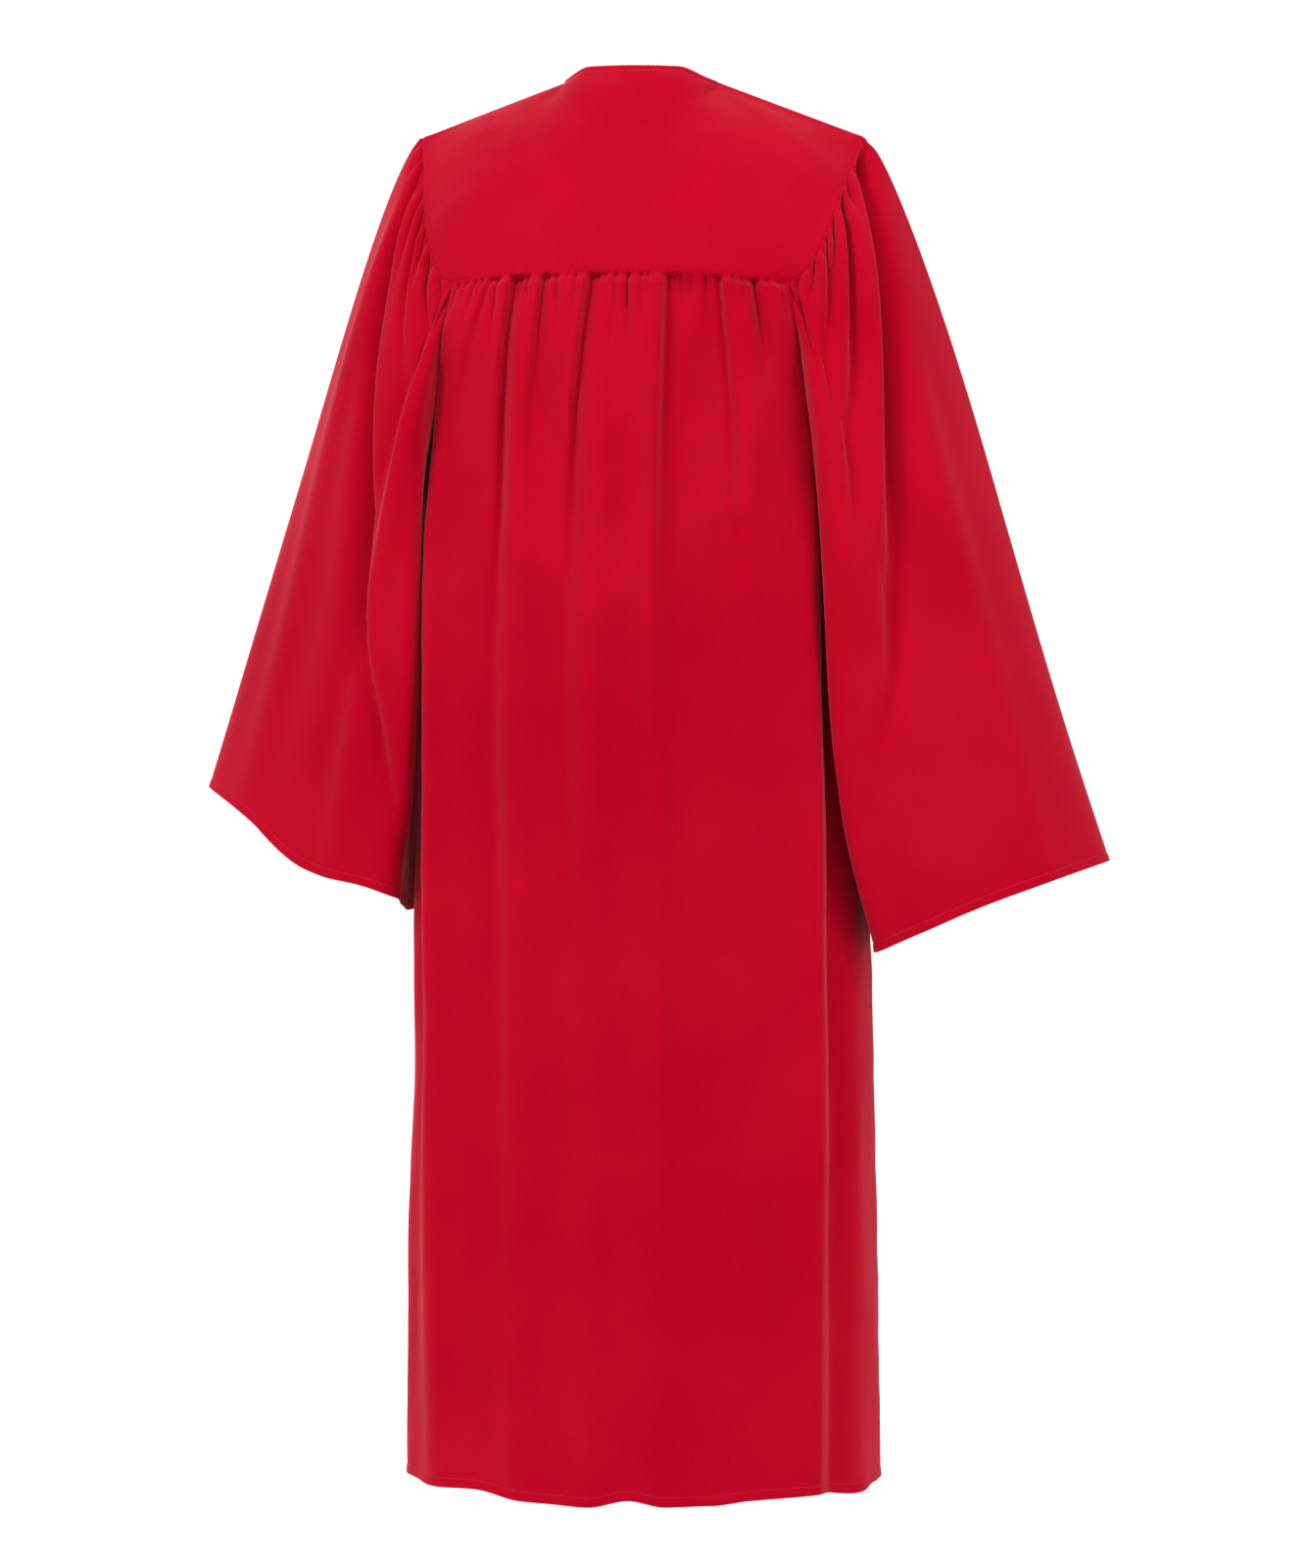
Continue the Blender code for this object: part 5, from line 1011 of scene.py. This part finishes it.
def sleeve_piece(name, sign, tube, table, seed, material):
    # more columns where the armhole is gathered
    fine = np.linspace(0, 1, 2001)
    weight = 1.0 + 2.4 * (1 - smooth((np.abs(np.mod(fine + 0.5, 1.0) - 0.5) - 0.25) / 0.05))
    weight = weight * (1 + 0.5 * ((fine < 0.28) * 1.0))
    total = np.concatenate([[0.0], np.cumsum((weight[1:] + weight[:-1]) / 2)])
    u = np.interp(np.linspace(0, 1, 325)[:-1], total / total[-1], fine)
    v = np.concatenate([dense(96, 1.0, 11.0, 1.0) * 0.965, 0.965 + np.linspace(0.003, 0.035, 12)])
    uu, vv = np.meshgrid(u, v)
    base = sleeve_base(tube, uu, vv)
    e = 2e-3
    pu = sleeve_base(tube, uu + e, vv) - sleeve_base(tube, uu - e, vv)
    pv = sleeve_base(tube, uu, np.clip(vv + e, 0, 1)) - sleeve_base(tube, uu, np.clip(vv - e, 0, 1))
    normal = unit(np.cross(pv, pu))
    run = np.linalg.norm(np.diff(base, axis=0), axis=2)
    down = np.concatenate([np.zeros((1, len(u))), np.cumsum(run, axis=0)])
    from_cuff = down[-1] - down
    d = sleeve_depth(table, uu, vv)
    top = 1 - smooth((np.abs(np.mod(uu, 1.0) - 0.5) - 0.22) / -0.04)
    d = d + 0.0006 * top * np.sin(2 * np.pi * uu / 0.0085 + 2 * wobble(uu, vv, 6, 0.08)) * np.exp(-down / 0.006)
    d = d + 0.0012 * (wobble(np.cos(2 * np.pi * uu) * 0.12, np.sin(2 * np.pi * uu) * 0.12 + vv * 0.2, seed, 0.10)
                      * smooth(vv / 0.08))
    d = d * smooth(down / 0.005)
    d = d + roll(down) + hem_finish(from_cuff)
    p = base + d[..., None] * normal
    depth = edge_depth(len(v), len(u), [down])
    depth = depth + 0.0007 * (1 - smooth((from_cuff - 0.0095) / 0.001))
    if sign < 0:
        p = flip(p)
    obj = shell(name, p, -sign, material, depth, True, [("top", 1.0)])
    n = grid_normals(p, True) * -sign
    points, normals = level_line(p, n, from_cuff, 0.0085)
    loop = np.concatenate([np.arange(len(u)), [0]])
    return obj, [(points[loop], normals[loop])]


# The zip's coil, and the thread that holds it to the tapes.

def zip_line(x, outer, drops):
    """Points and normals down the front at a sideways place, a depth behind the cloth's outer face."""
    p = stack(np.full_like(drops, x), front_y(drops) + outer, -drops)
    way = unit(np.gradient(p, axis=0))
    return p, unit(np.cross(way, np.array([1.0, 0.0, 0.0])))


def coil_teeth(name, material):
    """Closed coil: slanted loops that reach from one tape to the other in turn."""
    pitch = 0.0015
    top = SLIDER_TOP + 0.0045
    drops = np.arange(top + 0.001, ZIP_FOOT - 0.0068, pitch)
    y = front_y(drops) + WALL - CHAIN_WALL / 2
    sides = 6
    turn = np.arange(sides) * 2 * np.pi / sides
    xs = np.array([0.00272, 0.0024, 0.0008, -0.0010, -0.00135])
    radius = np.array([0.00030, 0.00046, 0.00046, 0.00054, 0.00030])
    lift = np.array([0.0, 0.0, 0.00012, 0.00012, 0.0])
    verts = []
    for sign, offset in ((1, 0.0), (-1, pitch / 2)):
        ring_x = sign * xs[:, None] + 0 * turn
        ring_y = -(lift[:, None] + radius[:, None] * 1.25 * np.sin(turn))
        ring_z = radius[:, None] * 1.05 * np.cos(turn) - 0.16 * (xs[:, None] - 0.0027)
        one = np.stack([ring_x, ring_y, ring_z], axis=-1).reshape(-1, 3)
        centre = np.stack([0 * drops, np.interp(drops + offset, drops, y), -(drops + offset)], axis=-1)
        verts.append((centre[:, None] + one[None]).reshape(-1, 3))
    verts = settle(np.concatenate(verts))
    tri = []
    for r in range(len(xs) - 1):
        for k in range(sides):
            a, b = r * sides + k, r * sides + (k + 1) % sides
            tri += [(a, b, b + sides), (a, b + sides, a + sides)]
    last = (len(xs) - 1) * sides
    for k in range(1, sides - 1):
        tri += [(0, k + 1, k), (last, last + k, last + k + 1)]
    size = len(xs) * sides
    starts = np.arange(len(verts) // size) * size
    faces = (np.array(tri)[None] + starts[:, None, None]).reshape(-1, 3)
    half = len(faces) // 2
    faces[half:] = faces[half:, ::-1]
    # the flat cord that the loops are wound around
    stops = drops[::6]
    corner = np.array([(-0.0024, 0.00015), (0.0024, 0.00015), (0.0024, 0.00045), (-0.0024, 0.00045)])
    level = np.interp(stops, drops, y)[:, None]
    cord = np.stack([corner[:, 0] + 0 * level, corner[:, 1] + level, 0 * corner[:, 0] - stops[:, None]], axis=-1)
    k = np.arange(4)
    a = np.concatenate([k + 4 * r for r in range(len(stops) - 1)])
    b = np.concatenate([(k + 1) % 4 + 4 * r for r in range(len(stops) - 1)])
    end = 4 * (len(stops) - 1)
    band = np.concatenate([np.stack([a, a + 4, b + 4], axis=1), np.stack([a, b + 4, b], axis=1),
                           [(0, 1, 2), (0, 2, 3), (end, end + 2, end + 1), (end, end + 3, end + 2)]])
    verts = np.concatenate([verts, settle(cord.reshape(-1, 3))])
    faces = np.concatenate([faces, band + starts[-1] + size])
    return mesh_object(name, verts, faces, material)



# Materials.

def node(tree, kind, place=(0, 0), **values):
    n = tree.nodes.new(kind)
    n.location = place
    for key, value in values.items():
        if key in n.inputs:
            n.inputs[key].default_value = value
        else:
            setattr(n, key, value)
    return n


def ramp(tree, low, high, dark, light):
    n = tree.nodes.new("ShaderNodeValToRGB")
    n.color_ramp.elements[0].position = low
    n.color_ramp.elements[1].position = high
    n.color_ramp.elements[0].color = dark
    n.color_ramp.elements[1].color = light
    return n


def cloth_material(name, base, weave_scale, sheen):
    """Matte polyester: fine twill weave, faint slubs, slight colour drift and a pink sheen."""
    m = bpy.data.materials.new(name)
    m.use_nodes = True
    t = m.node_tree
    shader = t.nodes["Principled BSDF"]
    shader.inputs["Roughness"].default_value = 0.62
    shader.inputs["Specular IOR Level"].default_value = 0.0
    shader.inputs["Sheen Weight"].default_value = sheen
    shader.inputs["Sheen Roughness"].default_value = 0.42
    shader.inputs["Sheen Tint"].default_value = (1.0, 0.42, 0.48, 1.0)
    where = node(t, "ShaderNodeTexCoord")
    # colour: broad drift and fine thread-to-thread variation
    drift = node(t, "ShaderNodeTexNoise", Scale=5.0, Detail=3.0, Roughness=0.5)
    thread = node(t, "ShaderNodeTexNoise", Scale=900.0, Detail=2.0, Roughness=0.7)
    t.links.new(where.outputs["Object"], drift.inputs["Vector"])
    t.links.new(where.outputs["Object"], thread.inputs["Vector"])
    tone = tuple(c * 0.93 for c in base[:3]) + (1.0,)
    light = tuple(min(1.0, c * 1.04 + 0.001) for c in base[:3]) + (1.0,)
    broad = ramp(t, 0.35, 0.65, tone, light)
    t.links.new(drift.outputs["Fac"], broad.inputs["Fac"])
    grain = ramp(t, 0.30, 0.70, (0.90, 0.90, 0.90, 1.0), (1.06, 1.06, 1.06, 1.0))
    t.links.new(thread.outputs["Fac"], grain.inputs["Fac"])
    mix = t.nodes.new("ShaderNodeMix")
    mix.data_type = "RGBA"
    mix.blend_type = "MULTIPLY"
    mix.inputs["Factor"].default_value = 1.0
    t.links.new(broad.outputs["Color"], mix.inputs[6])
    t.links.new(grain.outputs["Color"], mix.inputs[7])
    t.links.new(mix.outputs[2], shader.inputs["Base Color"])
    # weave: two crossing thread directions in height, with slubs
    weave = node(t, "ShaderNodeTexNoise", Scale=weave_scale, Detail=3.0, Roughness=0.65)
    stretch = node(t, "ShaderNodeMapping")
    stretch.inputs["Scale"].default_value = (1.0, 1.0, 0.35)
    t.links.new(where.outputs["Object"], stretch.inputs["Vector"])
    t.links.new(stretch.outputs["Vector"], weave.inputs["Vector"])
    twill = node(t, "ShaderNodeTexWave", Scale=weave_scale * 0.42, Distortion=1.2, Detail=1.0)
    twill.wave_type = "BANDS"
    twill.bands_direction = "DIAGONAL"
    t.links.new(where.outputs["Object"], twill.inputs["Vector"])
    crumple = node(t, "ShaderNodeTexNoise", Scale=16.0, Detail=4.0, Roughness=0.45)
    t.links.new(where.outputs["Object"], crumple.inputs["Vector"])
    fine = node(t, "ShaderNodeBump", Strength=0.35, Distance=0.00025)
    t.links.new(weave.outputs["Fac"], fine.inputs["Height"])
    lines = node(t, "ShaderNodeBump", Strength=0.20, Distance=0.00015)
    t.links.new(twill.outputs["Fac"], lines.inputs["Height"])
    t.links.new(fine.outputs["Normal"], lines.inputs["Normal"])
    soft = node(t, "ShaderNodeBump", Strength=0.22, Distance=0.004)
    t.links.new(crumple.outputs["Fac"], soft.inputs["Height"])
    t.links.new(lines.outputs["Normal"], soft.inputs["Normal"])
    t.links.new(soft.outputs["Normal"], shader.inputs["Normal"])
    rough = ramp(t, 0.3, 0.7, (0.56, 0.56, 0.56, 1.0), (0.68, 0.68, 0.68, 1.0))
    t.links.new(weave.outputs["Fac"], rough.inputs["Fac"])
    t.links.new(rough.outputs["Color"], shader.inputs["Roughness"])
    return m


def plain_material(name, base, roughness, grain, metallic=0.0, coat=0.0):
    m = bpy.data.materials.new(name)
    m.use_nodes = True
    t = m.node_tree
    shader = t.nodes["Principled BSDF"]
    shader.inputs["Metallic"].default_value = metallic
    shader.inputs["Coat Weight"].default_value = coat
    shader.inputs["Coat Roughness"].default_value = 0.2
    where = node(t, "ShaderNodeTexCoord")
    noise = node(t, "ShaderNodeTexNoise", Scale=grain, Detail=4.0, Roughness=0.6)
    t.links.new(where.outputs["Object"], noise.inputs["Vector"])
    tone = ramp(t, 0.3, 0.7, tuple(c * 0.86 for c in base[:3]) + (1.0,), tuple(base[:3]) + (1.0,))
    t.links.new(noise.outputs["Fac"], tone.inputs["Fac"])
    t.links.new(tone.outputs["Color"], shader.inputs["Base Color"])
    rough = ramp(t, 0.3, 0.7, (roughness * 0.85,) * 3 + (1.0,), (min(1.0, roughness * 1.15),) * 3 + (1.0,))
    t.links.new(noise.outputs["Fac"], rough.inputs["Fac"])
    t.links.new(rough.outputs["Color"], shader.inputs["Roughness"])
    bump = node(t, "ShaderNodeBump", Strength=0.2, Distance=0.0002)
    t.links.new(noise.outputs["Fac"], bump.inputs["Height"])
    t.links.new(bump.outputs["Normal"], shader.inputs["Normal"])
    return m


RED = cloth_material("red_polyester", (0.290, 0.0003, 0.0104), 1500.0, 0.15)
TAPE = cloth_material("red_tape_weave", (0.280, 0.0024, 0.0120), 2200.0, 0.12)
THREAD = plain_material("red_thread", (0.320, 0.0024, 0.0136), 0.6, 2500.0)
COIL = plain_material("red_coil_nylon", (0.270, 0.0032, 0.0120), 0.38, 900.0)
ENAMEL = plain_material("red_enamel", (0.290, 0.0033, 0.0108), 0.30, 400.0, 0.0, 0.6)

# Cloth pieces: node, and its piece with the lines of its stitches.
made = {
    "back_yoke": yoke_piece("yoke_back_cloth", 1, 1, 201, 51, RED),
    "front_yoke_left": yoke_piece("yoke_front_cloth_left", -1, 1, 101, 51, RED),
    "front_yoke_right": yoke_piece("yoke_front_cloth_right", -1, -1, 101, 51, RED),
    "back_panel": panel_piece("back_cloth", 1, 1, 331, RED),
    "front_panel_left": panel_piece("front_cloth_left", -1, 1, 161, RED),
    "front_panel_right": panel_piece("front_cloth_right", -1, -1, 161, RED),
    "sleeve_left": sleeve_piece("sleeve_cloth_left", 1, SLEEVE_LEFT, SLEEVE_FOLDS_LEFT, 31, RED),
    "sleeve_right": sleeve_piece("sleeve_cloth_right", -1, SLEEVE_RIGHT, SLEEVE_FOLDS_RIGHT, 32, RED),
}
for node_name, (piece, lines) in made.items():
    thread = stitches(piece.name + "_stitches", lines, THREAD)
    for obj in (piece, thread):
        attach(obj, "gown")
    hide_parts(node_name)

# The zip: tapes, coil, slider, pull and stop.
chain = coil_teeth("zip_coil", COIL)
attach(chain, "gown")
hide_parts("zip_chain")
run = np.linspace(SLIDER_TOP + 0.014, ZIP_FOOT - 0.007, 240)
for node_name, sign in (("zip_tape_left", 1), ("zip_tape_right", -1)):
    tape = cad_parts[node_name]
    tape.data.materials.clear()
    tape.data.materials.append(TAPE)
    lines = [zip_line(sign * x, WALL + TAPE_GAP, run) for x in (0.0034, 0.0046)]
    thread = stitches(node_name + "_stitches", lines, THREAD, 0.0024, 0.0017, 0.00018, 0.00006)
    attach(thread, "gown")
for node_name in ("zip_stop", "zip_slider", "zip_pull"):
    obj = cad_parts[node_name]
    obj.data.materials.clear()
    obj.data.materials.append(ENAMEL)
    edges = obj.modifiers.new("rounded_edges", "BEVEL")
    edges.width = 0.00022
    edges.segments = 3
    edges.limit_method = "ANGLE"

# Floor, light and camera.
floor_z = -1.50
mesh = bpy.data.meshes.new("floor")
mesh.from_pydata([(-400, -400, floor_z), (400, -400, floor_z), (400, 400, floor_z), (-400, 400, floor_z)], [], [(0, 1, 2, 3)])
floor = bpy.data.objects.new("floor", mesh)
bpy.context.scene.collection.objects.link(floor)
floor_paint = bpy.data.materials.new("floor_paint")
floor_paint.use_nodes = True
shade = floor_paint.node_tree.nodes["Principled BSDF"]
shade.inputs["Base Color"].default_value = (0.96, 0.96, 0.96, 1.0)
shade.inputs["Roughness"].default_value = 0.9
shade.inputs["Specular IOR Level"].default_value = 0.1
mesh.materials.append(floor_paint)

world = bpy.data.worlds.new("studio")
bpy.context.scene.world = world
world.use_nodes = True
sky = world.node_tree.nodes["Background"]
sky.inputs["Color"].default_value = (1.0, 1.0, 1.0, 1.0)
sky.inputs["Strength"].default_value = 1.07


def lamp(name, place, aim, size, power):
    data = bpy.data.lights.new(name, "AREA")
    data.shape = "DISK"
    data.size = size
    data.energy = power
    obj = bpy.data.objects.new(name, data)
    bpy.context.scene.collection.objects.link(obj)
    obj.location = place
    way = np.array(aim, float) - np.array(place, float)
    obj.rotation_euler = Vector(way).to_track_quat("-Z", "Y").to_euler()
    return obj


lamp("softbox_left", (1.9, 2.4, 1.9), (0.0, 0.0, -0.3), 0.9, 92.0)
lamp("softbox_top", (-0.3, 1.0, 2.5), (0.0, 0.0, -0.2), 1.4, 26.0)
lamp("softbox_right", (-2.6, 1.9, 0.9), (0.0, 0.0, -0.4), 1.4, 54.0)
lamp("softbox_front", (1.9, -3.2, 1.4), (0.0, 0.0, -0.4), 1.6, 110.0)

TURN = math.radians(11.0)
DISTANCE = 4.1
data = bpy.data.cameras.new("camera")
data.sensor_fit = "AUTO"
data.sensor_width = 36.0
data.lens = 96.5
data.shift_x = 0.0075
camera = bpy.data.objects.new("camera", data)
bpy.context.scene.collection.objects.link(camera)
camera.location = (-math.sin(TURN) * DISTANCE, math.cos(TURN) * DISTANCE, -0.684)
camera.rotation_euler = (math.pi / 2, 0.0, math.pi + TURN)
bpy.context.scene.camera = camera
bpy.context.scene.view_settings.view_transform = "Standard"
